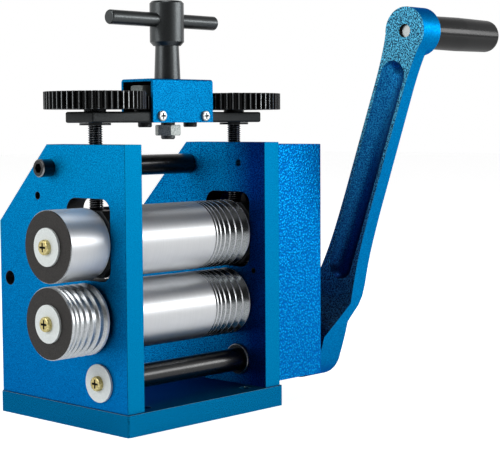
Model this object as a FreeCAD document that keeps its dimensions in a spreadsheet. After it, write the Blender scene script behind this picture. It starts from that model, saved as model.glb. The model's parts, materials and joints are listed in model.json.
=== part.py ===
import FreeCAD, Part
import math
import os
import Sketcher

# Jewellers rolling mill, in millimetres.
# Origin: centre of the base's underside.  +Z is up, +X points to the crank side,
# -Y is the side that the work is fed in from.

DOC = FreeCAD.newDocument("RollingMill")
SHEET = DOC.addObject("Spreadsheet::Sheet", "Sizes")

DRIVING_SIZES = {
    # frame
    "base_overhang": 1.0,
    "base_depth": 111.0,
    "base_thickness": 12.0,
    "base_edge_chamfer": 0.8,
    "plate_gap": 95.0,
    "plate_thickness": 12.0,
    "plate_height": 143.0,
    "plate_front_inset": 1.5,
    "plate_back_inset": 0.5,
    "plate_back_chamfer": 44.0,
    "bench_hole_diameter": 6.5,
    "bench_hole_spacing_x": 78.0,
    "bench_hole_spacing_y": 90.0,
    "plate_screw_diameter": 6.0,
    "plate_screw_reach": 14.0,
    "plate_screw_edge": 8.0,
    "cap_head_diameter": 10.0,
    "cap_head_height": 6.0,
    "cap_head_clearance": 0.5,
    "hex_socket_width": 5.0,
    "hex_socket_depth": 3.2,
    "tie_rod_diameter": 12.0,
    "tie_rod_from_back": 46.5,
    "tie_rod_below_top": 13.0,
    "tie_screw_reach": 15.0,
    "tie_screw_head_height": 8.0,
    "back_hole_diameter": 8.0,
    "back_hole_from_back": 8.5,
    "back_hole_height": 78.4,
    "pilot_hole_diameter": 4.2,
    "pilot_hole_from_back": 35.3,
    "pilot_hole_height": 126.4,
    "stop_hole_diameter": 3.2,
    "stop_hole_from_front": 9.4,
    "stop_hole_height": 80.0,
    # fits
    "running_clearance": 0.05,
    "seat_clearance": 0.02,
    "slide_clearance": 0.15,
    "face_clearance": 0.2,
    # rolls and their blocks
    "roll_diameter": 39.0,
    "roll_from_front": 30.3,
    "lower_roll_height": 61.0,
    "roll_gap": 1.64,
    "roll_end_gap": 0.8,
    "journal_diameter": 18.0,
    "journal_proud": 1.4,
    "groove_first_width": 1.2,
    "groove_width_step": 0.65,
    "groove_land": 0.9,
    "groove_end_land": 1.2,
    "block_height": 36.0,
    "block_width": 36.0,
    "block_proud": 0.3,
    "window_floor_gap": 1.84,
    "window_headroom": 6.36,
    "window_corner": 7.0,
    "bush_wall": 3.0,
    "extension_length": 25.7,
    "extension_gap": 2.0,
    "extension_stub_diameter": 14.0,
    "bead_first_width": 1.9,
    "bead_width_step": 0.62,
    "bead_land": 0.45,
    "bead_end_land": 1.0,
    "thrust_washer_diameter": 37.5,
    "thrust_washer_thickness": 1.0,
    "end_washer_diameter": 20.5,
    "end_washer_thickness": 1.2,
    "pan_head_diameter": 8.2,
    "pan_head_height": 2.4,
    "pan_screw_diameter": 4.0,
    "pan_screw_reach": 10.0,
    "spring_wire": 0.9,
    "spring_diameter": 5.6,
    "spring_turns": 4.0,
    "spring_pocket_diameter": 6.6,
    "spring_pocket_depth": 7.0,
    "spring_spread": 11.0,
    # gear train behind the right plate
    "gear_seat_diameter": 15.0,
    "roll_gear_width": 13.0,
    "train_gap": 1.6,
    "reduction_module": 1.5,
    "reduction_gear_width": 10.0,
    "retaining_ring_diameter": 19.0,
    "retaining_ring_thickness": 1.2,
    # drive shaft, its bushes and the crank
    "drive_axis_forward": 8.0,
    "shaft_diameter": 13.4,
    "shaft_journal_diameter": 12.0,
    "drive_bush_flange_diameter": 18.3,
    "drive_bush_flange_thickness": 1.5,
    "drive_bush_diameter": 16.0,
    "shaft_washer_diameter": 20.8,
    "hub_radius": 18.1,
    "hub_length": 20.0,
    "hub_gap": 2.5,
    "crank_length": 204.3,
    "crank_lean": 19.3,
    "arm_thickness": 9.0,
    "arm_root_thickness": 11.3,
    "arm_offset": 19.5,
    "arm_half_width": 10.9,
    "boss_radius": 14.2,
    "boss_length": 16.5,
    "arm_recess_width": 17.6,
    "arm_recess_depth": 5.5,
    "arm_recess_start": 46.0,
    "arm_recess_end": 185.7,
    "crank_washer_diameter": 19.0,
    "crank_washer_thickness": 1.6,
    "crank_screw_diameter": 6.0,
    "crank_screw_reach": 16.0,
    "grip_diameter": 19.6,
    "grip_length": 69.0,
    "grip_end_radius": 3.0,
    "grip_barrel": 0.4,
    "grip_pin_diameter": 8.0,
    "grip_pin_recess": 2.5,
    "grip_head_diameter": 12.0,
    "grip_head_height": 5.0,
    # gear cover
    "cover_wall": 1.5,
    "cover_reach": 38.5,
    "cover_top_drop": 1.6,
    "cover_bottom_rise": 2.5,
    "cover_corner": 2.0,
    "cover_shaft_hole_clearance": 1.0,
    "cover_screw_diameter": 4.0,
    "cover_screw_head_diameter": 8.0,
    "cover_screw_head_height": 2.2,
    "cover_screw_reach": 8.0,
    "pillar_diameter": 9.0,
    # adjusting gear above the plates
    "adjusting_screw_diameter": 8.0,
    "adjusting_gear_width": 9.5,
    "idler_gear_width": 7.0,
    "bridge_rise": 11.6,
    "bridge_thickness": 6.0,
    "bridge_overhang": 11.5,
    "bridge_depth": 23.0,
    "collar_diameter": 12.0,
    "collar_height": 1.3,
    "clip_diameter": 17.0,
    "clip_thickness": 1.2,
    "screw_top_proud": 0.6,
    "axle_diameter": 7.8,
    "axle_drop": 2.6,
    "hexagon_width": 13.0,
    "nut_height": 6.0,
    "axle_nut_width": 14.0,
    "axle_nut_lift": 7.2,
    "bridge_cover_length": 46.2,
    "bridge_cover_height": 24.1,
    "bridge_cover_wall": 1.5,
    "bridge_cover_corner": 1.6,
    "bridge_screw_spacing": 33.4,
    "bridge_screw_head_diameter": 5.9,
    "bridge_screw_head_height": 1.5,
    "bridge_screw_diameter": 3.0,
    "bridge_screw_reach": 5.0,
    # tee handle
    "stem_lower_diameter": 14.8,
    "stem_upper_diameter": 13.3,
    "stem_top_rise": 37.0,
    "tee_head_diameter": 19.3,
    "tee_head_height": 24.9,
    "tee_head_chamfer": 1.2,
    "tee_bar_diameter": 8.0,
    "tee_bar_length": 80.4,
    "tee_bar_shift": 2.7,
    "tee_bar_below_top": 10.7,
    "tee_bar_rounding": 0.9,
    "tee_nut_drop": 1.3,
    "tee_thread_drop": 9.4,
}

# Tooth counts.  The adjusting train runs pinion - idler - screw gear, the drive
# train pinion - reduction gear, and the two roll gears are alike.
TEE_TEETH = 15
IDLER_TEETH = 18
SCREW_GEAR_TEETH = 50
DRIVE_TEETH = 13
REDUCTION_TEETH = 34
ROLL_GEAR_TEETH = 13
GROOVES = 7
BEADS = 6
IDLER_NUT_TURN = -20     # degrees, as tightened

PRESSURE_ANGLE = math.radians(20)
ADDENDUM = 1.0
DEDENDUM = 1.25
BACKLASH = 0.05
DRIVE_PROFILE_SHIFT = 0.25
FLANK_POINTS = 3


class Size:
    """A length that carries its value and the sheet expression that drives it."""

    def __init__(self, value, text=None):
        self.value = float(value)
        self.text = text if text else repr(float(value))

    def __add__(self, other):
        other = as_size(other)
        return Size(self.value + other.value, f"({self.text} + {other.text})")

    def __sub__(self, other):
        other = as_size(other)
        return Size(self.value - other.value, f"({self.text} - {other.text})")

    def __mul__(self, other):
        other = as_size(other)
        return Size(self.value * other.value, f"({self.text} * {other.text})")

    def __truediv__(self, other):
        other = as_size(other)
        return Size(self.value / other.value, f"({self.text} / {other.text})")

    def __neg__(self):
        return Size(-self.value, f"(0 - {self.text})")

    def __radd__(self, other):
        return as_size(other) + self

    def __rsub__(self, other):
        return as_size(other) - self

    def __rmul__(self, other):
        return as_size(other) * self

    def __float__(self):
        return self.value


def as_size(number):
    return number if isinstance(number, Size) else Size(number)


def root(size):
    """Square root of a size."""
    return Size(math.sqrt(size.value), f"sqrt({size.text})")


class Sizes:
    """The sheet's cells, by alias."""

    def __init__(self, table):
        for row, (alias, value) in enumerate(table.items(), start=1):
            SHEET.set(f"A{row}", alias)
            SHEET.set(f"B{row}", str(value))
            SHEET.setAlias(f"B{row}", alias)
        DOC.recompute()
        for alias in table:
            setattr(self, alias, Size(SHEET.get(alias), f"Sizes.{alias}"))


S = Sizes(DRIVING_SIZES)
ZERO = Size(0)

# ---------------------------------------------------------------- derived places

base_top = S.base_thickness
plate_inner = S.plate_gap / 2
plate_outer = plate_inner + S.plate_thickness
plate_middle = plate_inner + S.plate_thickness / 2
plate_front = S.plate_front_inset - S.base_depth / 2
plate_back = S.base_depth / 2 - S.plate_back_inset
plate_top = base_top + S.plate_height

roll_radius = S.roll_diameter / 2
roll_y = plate_front + S.roll_from_front
lower_roll_z = S.lower_roll_height
upper_roll_z = lower_roll_z + S.roll_diameter + S.roll_gap
roll_half = plate_inner - S.roll_end_gap

block_bottom = upper_roll_z - S.block_height / 2
block_top = upper_roll_z + S.block_height / 2
window_bottom = block_bottom - S.window_floor_gap
window_top = block_top + S.window_headroom

tie_rod_y = plate_back - S.tie_rod_from_back
tie_rod_z = plate_top - S.tie_rod_below_top

journal_end = plate_outer + S.journal_proud
extension_start = plate_outer + S.extension_gap
extension_end = extension_start + S.extension_length

roll_gear_start = journal_end + S.face_clearance
roll_gear_end = roll_gear_start + S.roll_gear_width
reduction_start = roll_gear_end + S.train_gap
reduction_end = reduction_start + S.reduction_gear_width

train_centres = S.reduction_module * ((DRIVE_TEETH + REDUCTION_TEETH) / 2)
drive_y = roll_y - S.drive_axis_forward
drive_z = lower_roll_z - root(train_centres * train_centres - S.drive_axis_forward * S.drive_axis_forward)

cover_outer = plate_outer + S.cover_reach
hub_start = cover_outer + S.hub_gap
hub_end = hub_start + S.hub_length
arm_inner = hub_start + S.arm_offset
boss_end = arm_inner + S.boss_length
grip_start = boss_end + S.face_clearance
grip_end = grip_start + S.grip_length

bridge_bottom = plate_top + S.bridge_rise
bridge_top = bridge_bottom + S.bridge_thickness
gears_bottom = bridge_top + S.collar_height
gears_top = gears_bottom + S.adjusting_gear_width
adjusting_module = plate_middle / ((SCREW_GEAR_TEETH + IDLER_TEETH) / 2 + (IDLER_TEETH + TEE_TEETH) / 2)
idler_x = adjusting_module * ((IDLER_TEETH + TEE_TEETH) / 2)
bridge_cover_top = bridge_bottom + S.bridge_cover_height
tee_head_bottom = bridge_top + S.stem_top_rise
tee_top = tee_head_bottom + S.tee_head_height


# ---------------------------------------------------------------- drawing helpers

def bind_place(obj, place):
    """Bind an object's position to three sizes."""
    for axis, size in zip("xyz", place):
        obj.setExpression(f"Placement.Base.{axis}", as_size(size).text)


def bind_turn(obj, axis, angle):
    """Turn an object by an angle in degrees about a principal axis."""
    direction = {"x": (1, 0, 0), "y": (0, 1, 0), "z": (0, 0, 1)}[axis]
    obj.Placement.Rotation = FreeCAD.Rotation(FreeCAD.Vector(*direction), angle.value)
    obj.setExpression("Placement.Rotation.Angle", angle.text)


def new_body(label, place=(ZERO, ZERO, ZERO)):
    body = DOC.addObject("PartDesign::Body", label)
    body.Label = label
    bind_place(body, place)
    return body


def new_sketch(body, plane):
    """A sketch on one of the body's own origin planes, such as XY_Plane."""
    sketch = body.newObject("Sketcher::SketchObject", body.Label + "_sketch")
    origin_plane = [item for item in body.Origin.OriginFeatures if item.Role == plane][0]
    sketch.AttachmentSupport = [(origin_plane, "")]
    sketch.MapMode = "FlatFace"
    return sketch


def fix_point(sketch, edge, end, point):
    """Bind one end of a sketch edge to its two coordinates."""
    for kind, size in zip(("DistanceX", "DistanceY"), point):
        size = as_size(size)
        index = sketch.addConstraint(Sketcher.Constraint(kind, -1, 1, edge, end, size.value))
        sketch.setExpression(f"Constraints[{index}]", size.text)


def vector(point):
    return FreeCAD.Vector(float(point[0]), float(point[1]), 0)


def draw_polygon(sketch, corners):
    """A closed outline of straight lines, each corner bound to the sheet."""
    first = sketch.GeometryCount
    count = len(corners)
    for here, there in zip(corners, corners[1:] + corners[:1]):
        sketch.addGeometry(Part.LineSegment(vector(here), vector(there)), False)
    for step in range(count):
        following = first + (step + 1) % count
        sketch.addConstraint(Sketcher.Constraint("Coincident", first + step, 2, following, 1))
    for step, corner in enumerate(corners):
        fix_point(sketch, first + step, 1, corner)


def draw_circle(sketch, centre, radius):
    circle = Part.Circle(vector(centre), FreeCAD.Vector(0, 0, 1), float(radius))
    edge = sketch.addGeometry(circle, False)
    fix_point(sketch, edge, 3, centre)
    index = sketch.addConstraint(Sketcher.Constraint("Radius", edge, float(radius)))
    sketch.setExpression(f"Constraints[{index}]", as_size(radius).text)


def draw_rounded_box(sketch, low, high, radius):
    """A rectangle with round corners."""
    left, bottom = low
    right, top = high
    sides = [
        ((left + radius, bottom), (right - radius, bottom)),
        ((right, bottom + radius), (right, top - radius)),
        ((right - radius, top), (left + radius, top)),
        ((left, top - radius), (left, bottom + radius)),
    ]
    centres = [
        (right - radius, bottom + radius),
        (right - radius, top - radius),
        (left + radius, top - radius),
        (left + radius, bottom + radius),
    ]
    first = sketch.GeometryCount
    for start, end in sides:
        sketch.addGeometry(Part.LineSegment(vector(start), vector(end)), False)
    for corner, centre in enumerate(centres):
        circle = Part.Circle(vector(centre), FreeCAD.Vector(0, 0, 1), radius.value)
        start_angle = math.radians(90 * corner - 90)
        sketch.addGeometry(Part.ArcOfCircle(circle, start_angle, start_angle + math.pi / 2), False)
    for side, (start, end) in enumerate(sides):
        fix_point(sketch, first + side, 1, start)
        fix_point(sketch, first + side, 2, end)
        arc = first + 4 + side
        sketch.addConstraint(Sketcher.Constraint("Coincident", first + side, 2, arc, 1))
        sketch.addConstraint(Sketcher.Constraint("Coincident", arc, 2, first + (side + 1) % 4, 1))
        index = sketch.addConstraint(Sketcher.Constraint("Radius", arc, radius.value))
        sketch.setExpression(f"Constraints[{index}]", radius.text)


def pad(body, sketch, length):
    """Pad away from the sketch's plane, to the side of its +X, -Y or +Z normal."""
    feature = body.newObject("PartDesign::Pad", body.Label + "_pad")
    feature.Profile = sketch
    feature.setExpression("Length", length.text)
    return feature


def turned(label, axis, corners, place=(ZERO, ZERO, ZERO)):
    """A lathe piece: corners are (distance along the axis, radius) of a closed profile."""
    body = new_body(label, place)
    if axis == "x":
        sketch = new_sketch(body, "XY_Plane")
        draw_polygon(sketch, corners)
        line = "H_Axis"
    else:
        sketch = new_sketch(body, "XZ_Plane")
        draw_polygon(sketch, [(radius, along) for along, radius in corners])
        line = "V_Axis"
    revolution = body.newObject("PartDesign::Revolution", label + "_turn")
    revolution.Profile = sketch
    revolution.ReferenceAxis = (sketch, [line])
    revolution.Angle = 360
    return body


def ring(label, axis, start, end, outer, bore, place=(ZERO, ZERO, ZERO)):
    """A washer or bush: a tube between two stations, by its outer and bore radius."""
    corners = [(start, bore), (end, bore), (end, outer), (start, outer)]
    return turned(label, axis, corners, place)


def cylinder(name, axis, radius, start, length, place):
    """A cutting cylinder along x, y or z, from its start on that axis."""
    tool = DOC.addObject("Part::Cylinder", name)
    tool.setExpression("Radius", as_size(radius).text)
    tool.setExpression("Height", as_size(length).text)
    turns = {"x": ((0, 1, 0), 90), "y": ((1, 0, 0), -90), "z": ((0, 0, 1), 0)}
    direction, angle = turns[axis]
    tool.Placement.Rotation = FreeCAD.Rotation(FreeCAD.Vector(*direction), angle)
    offsets = [as_size(size) for size in place]
    offsets["xyz".index(axis)] = offsets["xyz".index(axis)] + start
    bind_place(tool, offsets)
    return tool


def box(name, low, high):
    """A box between two corners."""
    block = DOC.addObject("Part::Box", name)
    for side, lowest, highest in zip(("Length", "Width", "Height"), low, high):
        block.setExpression(side, (as_size(highest) - lowest).text)
    bind_place(block, low)
    return block


def cut(label, base, tools):
    """Take one or more tools out of a base."""
    result = DOC.addObject("Part::Cut", label)
    result.Label = label
    result.Base = base
    result.Tool = tools[0] if len(tools) == 1 else group(label + "_tools", tools)
    return result


def fuse(label, members):
    result = DOC.addObject("Part::MultiFuse", label)
    result.Label = label
    result.Shapes = members
    return result


def group(label, members):
    """Separate solids kept together as one sub-part."""
    result = DOC.addObject("Part::Compound", label)
    result.Label = label
    result.Links = members
    return result


def hexagon_prism(name, width_across_flats, start, length, place, axis="z"):
    """A hexagonal prism, for nuts and for socket recesses."""
    body = new_body(name, place)
    sketch = new_sketch(body, "XY_Plane" if axis == "z" else "YZ_Plane")
    half_flat = width_across_flats / 2
    half_corner = width_across_flats / root(Size(3))
    corners = [
        (half_corner, ZERO),
        (half_corner / 2, half_flat),
        (-half_corner / 2, half_flat),
        (-half_corner, ZERO),
        (-half_corner / 2, -half_flat),
        (half_corner / 2, -half_flat),
    ]
    draw_polygon(sketch, corners)
    sketch.setExpression("AttachmentOffset.Base.z", as_size(start).text)
    pad(body, sketch, as_size(length))
    return body


# ---------------------------------------------------------------- gears

def involute(angle):
    return math.tan(angle) - angle


def gear_outline(teeth, module, profile_shift=0.0):
    """Corner points of a spur gear, with a tooth centred on the first axis."""
    pitch_radius = module * teeth / 2
    base_radius = pitch_radius * math.cos(PRESSURE_ANGLE)
    tip_radius = pitch_radius + module * (ADDENDUM + profile_shift)
    root_radius = pitch_radius - module * (DEDENDUM - profile_shift)
    shifted = math.pi / 2 + 2 * profile_shift * math.tan(PRESSURE_ANGLE) - BACKLASH
    half_tooth = shifted / teeth + involute(PRESSURE_ANGLE)
    flank = []
    lowest = max(base_radius, root_radius)
    for step in range(FLANK_POINTS):
        radius = lowest + (tip_radius - lowest) * step / (FLANK_POINTS - 1)
        flank.append((radius, half_tooth - involute(math.acos(base_radius / radius))))
    if root_radius < base_radius:
        flank.insert(0, (root_radius, half_tooth))
    points = []
    for tooth in range(teeth):
        middle = 2 * math.pi * tooth / teeth
        side = [(radius, middle - angle) for radius, angle in flank]
        side += [(radius, middle + angle) for radius, angle in reversed(flank)]
        points += [FreeCAD.Vector(r * math.cos(a), r * math.sin(a), 0) for r, a in side]
    return points


def spur_gear(label, axis, teeth, module, width, bore, place, turn, profile_shift=0.0):
    """A spur gear about x or z, turned so that its teeth mesh at rest (turn in degrees)."""
    body = new_body(label, place)
    sketch = new_sketch(body, "YZ_Plane" if axis == "x" else "XY_Plane")
    points = gear_outline(teeth, float(module), profile_shift)
    edges = [Part.LineSegment(a, b) for a, b in zip(points, points[1:] + points[:1])]
    sketch.addGeometry(edges, False)
    draw_circle(sketch, (ZERO, ZERO), bore)
    pad(body, sketch, width)
    bind_turn(body, axis, turn)
    return body


# ---------------------------------------------------------------- fasteners

def pan_screw(name, place, head_radius, head_height, shank_radius, reach, towards):
    """A pan-head screw along x; its head stands on the side given by towards (+1 or -1)."""
    crown = head_radius * 0.62
    corners = [
        (-towards * reach, ZERO),
        (towards * head_height, ZERO),
        (towards * head_height, crown),
        (towards * head_height * 0.55, head_radius * 0.96),
        (ZERO, head_radius),
        (ZERO, shank_radius),
        (-towards * reach, shank_radius),
    ]
    return turned(name, "x", corners, place)


def socket_screw(name, axis, place, reach, towards, shank_radius, head_height):
    """A socket cap screw along x or z, seated at its place, its head towards +1 or -1."""
    head_radius = S.cap_head_diameter / 2
    chamfer = head_radius * 0.12
    corners = [
        (-towards * reach, ZERO),
        (towards * head_height, ZERO),
        (towards * head_height, head_radius - chamfer),
        (towards * (head_height - chamfer), head_radius),
        (ZERO, head_radius),
        (ZERO, shank_radius),
        (-towards * reach, shank_radius),
    ]
    blank = turned(name + "_blank", axis, corners, place)
    socket_start = towards * head_height
    if towards > 0:
        socket_start = socket_start - S.hex_socket_depth
    socket = hexagon_prism(name + "_socket", S.hex_socket_width, socket_start,
                           S.hex_socket_depth, place, axis)
    return cut(name, blank, [socket])


# ---------------------------------------------------------------- frame

def make_base():
    """The base block: four bench holes, and counterbores for the plates' screws."""
    half_length = plate_outer + S.base_overhang
    half_depth = S.base_depth / 2
    edge = S.base_edge_chamfer
    body = new_body("base_blank")
    sketch = new_sketch(body, "XY_Plane")
    outline = []
    for sign_x, sign_y in ((-1, -1), (1, -1), (1, 1), (-1, 1)):
        along = (sign_x * (half_length - edge), sign_y * half_depth)
        across = (sign_x * half_length, sign_y * (half_depth - edge))
        outline += [along, across] if sign_x * sign_y > 0 else [across, along]
    outline = outline[2:] + outline[:2]
    draw_polygon(sketch, ordered_outline(outline))
    pad(body, sketch, S.base_thickness)
    tools = []
    for number, (sign_x, sign_y) in enumerate(((-1, -1), (1, -1), (1, 1), (-1, 1))):
        spot = (sign_x * S.bench_hole_spacing_x / 2, sign_y * S.bench_hole_spacing_y / 2, ZERO)
        tools.append(cylinder(f"bench_hole_{number}", "z", S.bench_hole_diameter / 2,
                              Size(-1), S.base_thickness + 2, spot))
    for number, (x, y) in enumerate(plate_screw_places()):
        tools.append(cylinder(f"base_screw_hole_{number}", "z",
                              S.plate_screw_diameter / 2 + S.running_clearance * 2,
                              Size(-1), S.base_thickness + 2, (x, y, ZERO)))
        tools.append(cylinder(f"base_counterbore_{number}", "z",
                              S.cap_head_diameter / 2 + S.cap_head_clearance,
                              Size(-1), S.cap_head_height + S.cap_head_clearance + 1, (x, y, ZERO)))
    return cut("base_plate", body, [fuse("base_tools", tools)])


def ordered_outline(points):
    """Points of a convex outline, put in order round its centre."""
    return sorted(points, key=lambda point: math.atan2(float(point[1]), float(point[0])))


def plate_screw_places():
    """The four upright screws that hold the side plates on the base."""
    rows = (plate_front + S.plate_screw_edge, plate_back - S.plate_screw_edge * 2.5)
    return [(side * plate_middle, y) for side in (-1, 1) for y in rows]


def plate_outline(front, back, bottom, top, chamfer):
    """Side view shared by the plates and the gear cover: square front, cut-off back corner."""
    return [(front, bottom), (back, bottom), (back, top - chamfer), (back - chamfer, top), (front, top)]


def make_side_plate(label, side):
    """A side plate with the roll block's window; side is -1 (left) or +1 (right)."""
    inner = plate_inner if side > 0 else -plate_outer
    start = (inner, ZERO, ZERO)
    body = new_body(label + "_blank", start)
    draw_polygon(new_sketch_padded(body, S.plate_thickness),
                 plate_outline(plate_front, plate_back, base_top, plate_top, S.plate_back_chamfer))
    window = new_body(label + "_window", (inner - 1, ZERO, ZERO))
    half_window = S.block_width / 2
    draw_rounded_box(new_sketch_padded(window, S.plate_thickness + 2),
                     (roll_y - half_window, window_bottom), (roll_y + half_window, window_top),
                     S.window_corner)
    through = S.plate_thickness + 2
    bush_hole = S.journal_diameter / 2 + S.bush_wall + S.seat_clearance
    holes = [
        ("bush_hole", bush_hole, roll_y, lower_roll_z),
        ("drive_hole", S.drive_bush_diameter / 2 + S.seat_clearance, drive_y, drive_z),
        ("tie_hole", S.plate_screw_diameter / 2 + S.running_clearance * 2, tie_rod_y, tie_rod_z),
    ]
    if side < 0:
        holes.append(("back_hole", S.back_hole_diameter / 2, plate_back - S.back_hole_from_back,
                      S.back_hole_height))
        holes.append(("pilot_hole", S.pilot_hole_diameter / 2, plate_back - S.pilot_hole_from_back,
                      S.pilot_hole_height))
    else:
        holes.append(("stop_hole", S.stop_hole_diameter / 2, plate_front + S.stop_hole_from_front,
                      S.stop_hole_height))
        for number, (y, z) in enumerate(pillar_places()):
            holes.append((f"pillar_hole_{number}", S.cover_screw_diameter / 2 + S.seat_clearance, y, z))
    tools = [window]
    for name, radius, y, z in holes:
        tools.append(cylinder(f"{label}_{name}", "x", radius, Size(-1), through, (inner, y, z)))
    middle = side * plate_middle
    tools.append(cylinder(label + "_screw_hole", "z",
                          S.adjusting_screw_diameter / 2 + S.running_clearance, window_top - 1,
                          plate_top - window_top + 2, (middle, roll_y, ZERO)))
    for number, (x, y) in enumerate(plate_screw_places()):
        if float(x) * side > 0:
            tools.append(cylinder(f"{label}_tapped_{number}", "z",
                                  S.plate_screw_diameter / 2 + S.seat_clearance, base_top - 1,
                                  S.plate_screw_reach + 2, (x, y, ZERO)))
    return cut(label, body, tools)


def new_sketch_padded(body, length):
    """A sketch in the YZ plane whose outline is padded towards +X."""
    sketch = new_sketch(body, "YZ_Plane")
    pad(body, sketch, as_size(length))
    return sketch


def make_plate_screws():
    """Socket screws up through the base; each head sits in its counterbore."""
    seat = S.cap_head_height + S.cap_head_clearance
    reach = base_top - seat + S.plate_screw_reach
    screws = [socket_screw(f"plate_screw_{number}", "z", (x, y, seat), reach, -1,
                           S.plate_screw_diameter / 2, S.cap_head_height)
              for number, (x, y) in enumerate(plate_screw_places())]
    return group("plate_screws", screws)


def make_tie_rod():
    """The spacer rod between the plates, tapped at both ends."""
    rod = S.tie_rod_diameter / 2
    bore = S.plate_screw_diameter / 2 + S.seat_clearance
    depth = S.tie_screw_reach - S.plate_thickness + 12
    edge = Size(0.6)
    corners = []
    for side in (-1, 1):
        end = [
            (side * (plate_inner - depth), ZERO),
            (side * (plate_inner - depth), bore),
            (side * plate_inner, bore),
            (side * plate_inner, rod - edge),
            (side * (plate_inner - edge), rod),
        ]
        corners += end if side < 0 else list(reversed(end))
    return turned("tie_rod", "x", corners, (ZERO, tie_rod_y, tie_rod_z))


def make_tie_rod_screws():
    screws = []
    for name, side in (("left", -1), ("right", 1)):
        place = (side * plate_outer, tie_rod_y, tie_rod_z)
        reach = S.plate_thickness + S.tie_screw_reach - 4
        screws.append(socket_screw(f"tie_screw_{name}", "x", place, reach, side,
                                   S.plate_screw_diameter / 2, S.tie_screw_head_height))
    return group("tie_rod_screws", screws)


def make_roll_bush(label, side):
    """The plain bush that carries one end of the lower roll."""
    start = plate_inner if side > 0 else -plate_outer
    bore = S.journal_diameter / 2 + S.running_clearance
    return ring(label, "x", start, start + S.plate_thickness, S.journal_diameter / 2 + S.bush_wall,
                bore, (ZERO, roll_y, lower_roll_z))


def make_drive_bush(label, side):
    """A flanged bush for the drive shaft, its flange on the plate's inner face."""
    bore = S.shaft_journal_diameter / 2 + S.running_clearance
    barrel = S.drive_bush_diameter / 2
    flange = S.drive_bush_flange_diameter / 2
    face = side * (plate_inner - S.drive_bush_flange_thickness)
    edge = Size(0.4)
    corners = [
        (face, bore),
        (side * plate_outer, bore),
        (side * plate_outer, barrel),
        (side * plate_inner, barrel),
        (side * plate_inner, flange),
        (face + side * edge, flange),
        (face, flange - edge),
    ]
    return turned(label, "x", corners, (ZERO, drive_y, drive_z))


# ---------------------------------------------------------------- gear cover

def pillar_places():
    """Three threaded pillars that hold the gear cover, clear of the gears."""
    high = plate_top - S.pillar_diameter * 1.35
    far_back = plate_back - S.pillar_diameter * 1.6
    return [
        (roll_y - S.pillar_diameter, high),
        (far_back, plate_top - S.plate_back_chamfer - S.pillar_diameter),
        (far_back, base_top + S.pillar_diameter * 2.2),
    ]


def make_gear_cover():
    """A folded sheet cover, open towards the plate and underneath."""
    front = plate_front
    back = plate_back
    top = plate_top - S.cover_top_drop
    bottom = base_top + S.cover_bottom_rise
    wall = S.cover_wall
    slant = wall * (math.sqrt(2) - 1)
    body = new_body("gear_cover_blank", (plate_outer, ZERO, ZERO))
    draw_polygon(new_sketch_padded(body, S.cover_reach),
                 plate_outline(front, back, bottom, top, S.plate_back_chamfer))
    hollow = new_body("gear_cover_hollow", (plate_outer - 1, ZERO, ZERO))
    inner_outline = [
        (front + wall, bottom - 1),
        (back - wall, bottom - 1),
        (back - wall, top - S.plate_back_chamfer - slant),
        (back - S.plate_back_chamfer - slant, top - wall),
        (front + wall, top - wall),
    ]
    draw_polygon(new_sketch_padded(hollow, S.cover_reach - wall + 1), inner_outline)
    hole = S.shaft_journal_diameter / 2 + S.cover_shaft_hole_clearance
    tools = [hollow, cylinder("cover_shaft_hole", "x", hole, cover_outer - wall - 1, wall + 2,
                              (ZERO, drive_y, drive_z))]
    for number, (y, z) in enumerate(pillar_places()):
        tools.append(cylinder(f"cover_screw_hole_{number}", "x",
                              S.cover_screw_diameter / 2 + S.running_clearance * 2,
                              cover_outer - wall - 1, wall + 2, (ZERO, y, z)))
    shell = cut("gear_cover_shell", body, [fuse("gear_cover_tools", tools)])
    return round_cover_edges(shell)


def round_cover_edges(shell):
    """The sheet's outer bends, rounded where the sides meet the outer face."""
    DOC.recompute()
    rounded = DOC.addObject("Part::Fillet", "gear_cover")
    rounded.Label = "gear_cover"
    rounded.Base = shell
    radius = min(float(S.cover_corner), 1.3 * float(S.cover_wall))
    edges = []
    for number, edge in enumerate(shell.Shape.Edges, start=1):
        box_of_edge = edge.BoundBox
        straight = isinstance(edge.Curve, Part.Line)
        on_face = abs(box_of_edge.XMin - float(cover_outer)) < 1e-4 and box_of_edge.XLength < 1e-4
        above = box_of_edge.ZMax > float(base_top + S.cover_bottom_rise) + 1
        if straight and on_face and above:
            edges.append((number, radius, radius))
    rounded.Edges = edges
    return rounded


def make_cover_pillars():
    """Round pillars screwed to the right plate; the cover's screws go into them."""
    pillars = []
    radius = S.pillar_diameter / 2
    stud = S.cover_screw_diameter / 2
    end = cover_outer - S.cover_wall
    depth = S.cover_screw_reach + 1
    for number, (y, z) in enumerate(pillar_places()):
        corners = [
            (plate_outer - S.cover_screw_reach, ZERO),
            (end - depth, ZERO),
            (end - depth, stud + S.seat_clearance),
            (end, stud + S.seat_clearance),
            (end, radius),
            (plate_outer, radius),
            (plate_outer, stud),
            (plate_outer - S.cover_screw_reach, stud),
        ]
        pillars.append(turned(f"cover_pillar_{number}", "x", corners, (ZERO, y, z)))
    return group("cover_pillars", pillars)


def make_cover_screws():
    screws = [pan_screw(f"gear_cover_screw_{number}", (cover_outer, y, z),
                        S.cover_screw_head_diameter / 2, S.cover_screw_head_height,
                        S.cover_screw_diameter / 2, S.cover_screw_reach, 1)
              for number, (y, z) in enumerate(pillar_places())]
    return group("gear_cover_screws", screws)


# ---------------------------------------------------------------- roll blocks and springs

def spring_places(side):
    return [(side * plate_middle, roll_y + spread * S.spring_spread) for spread in (-1, 1)]


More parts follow.
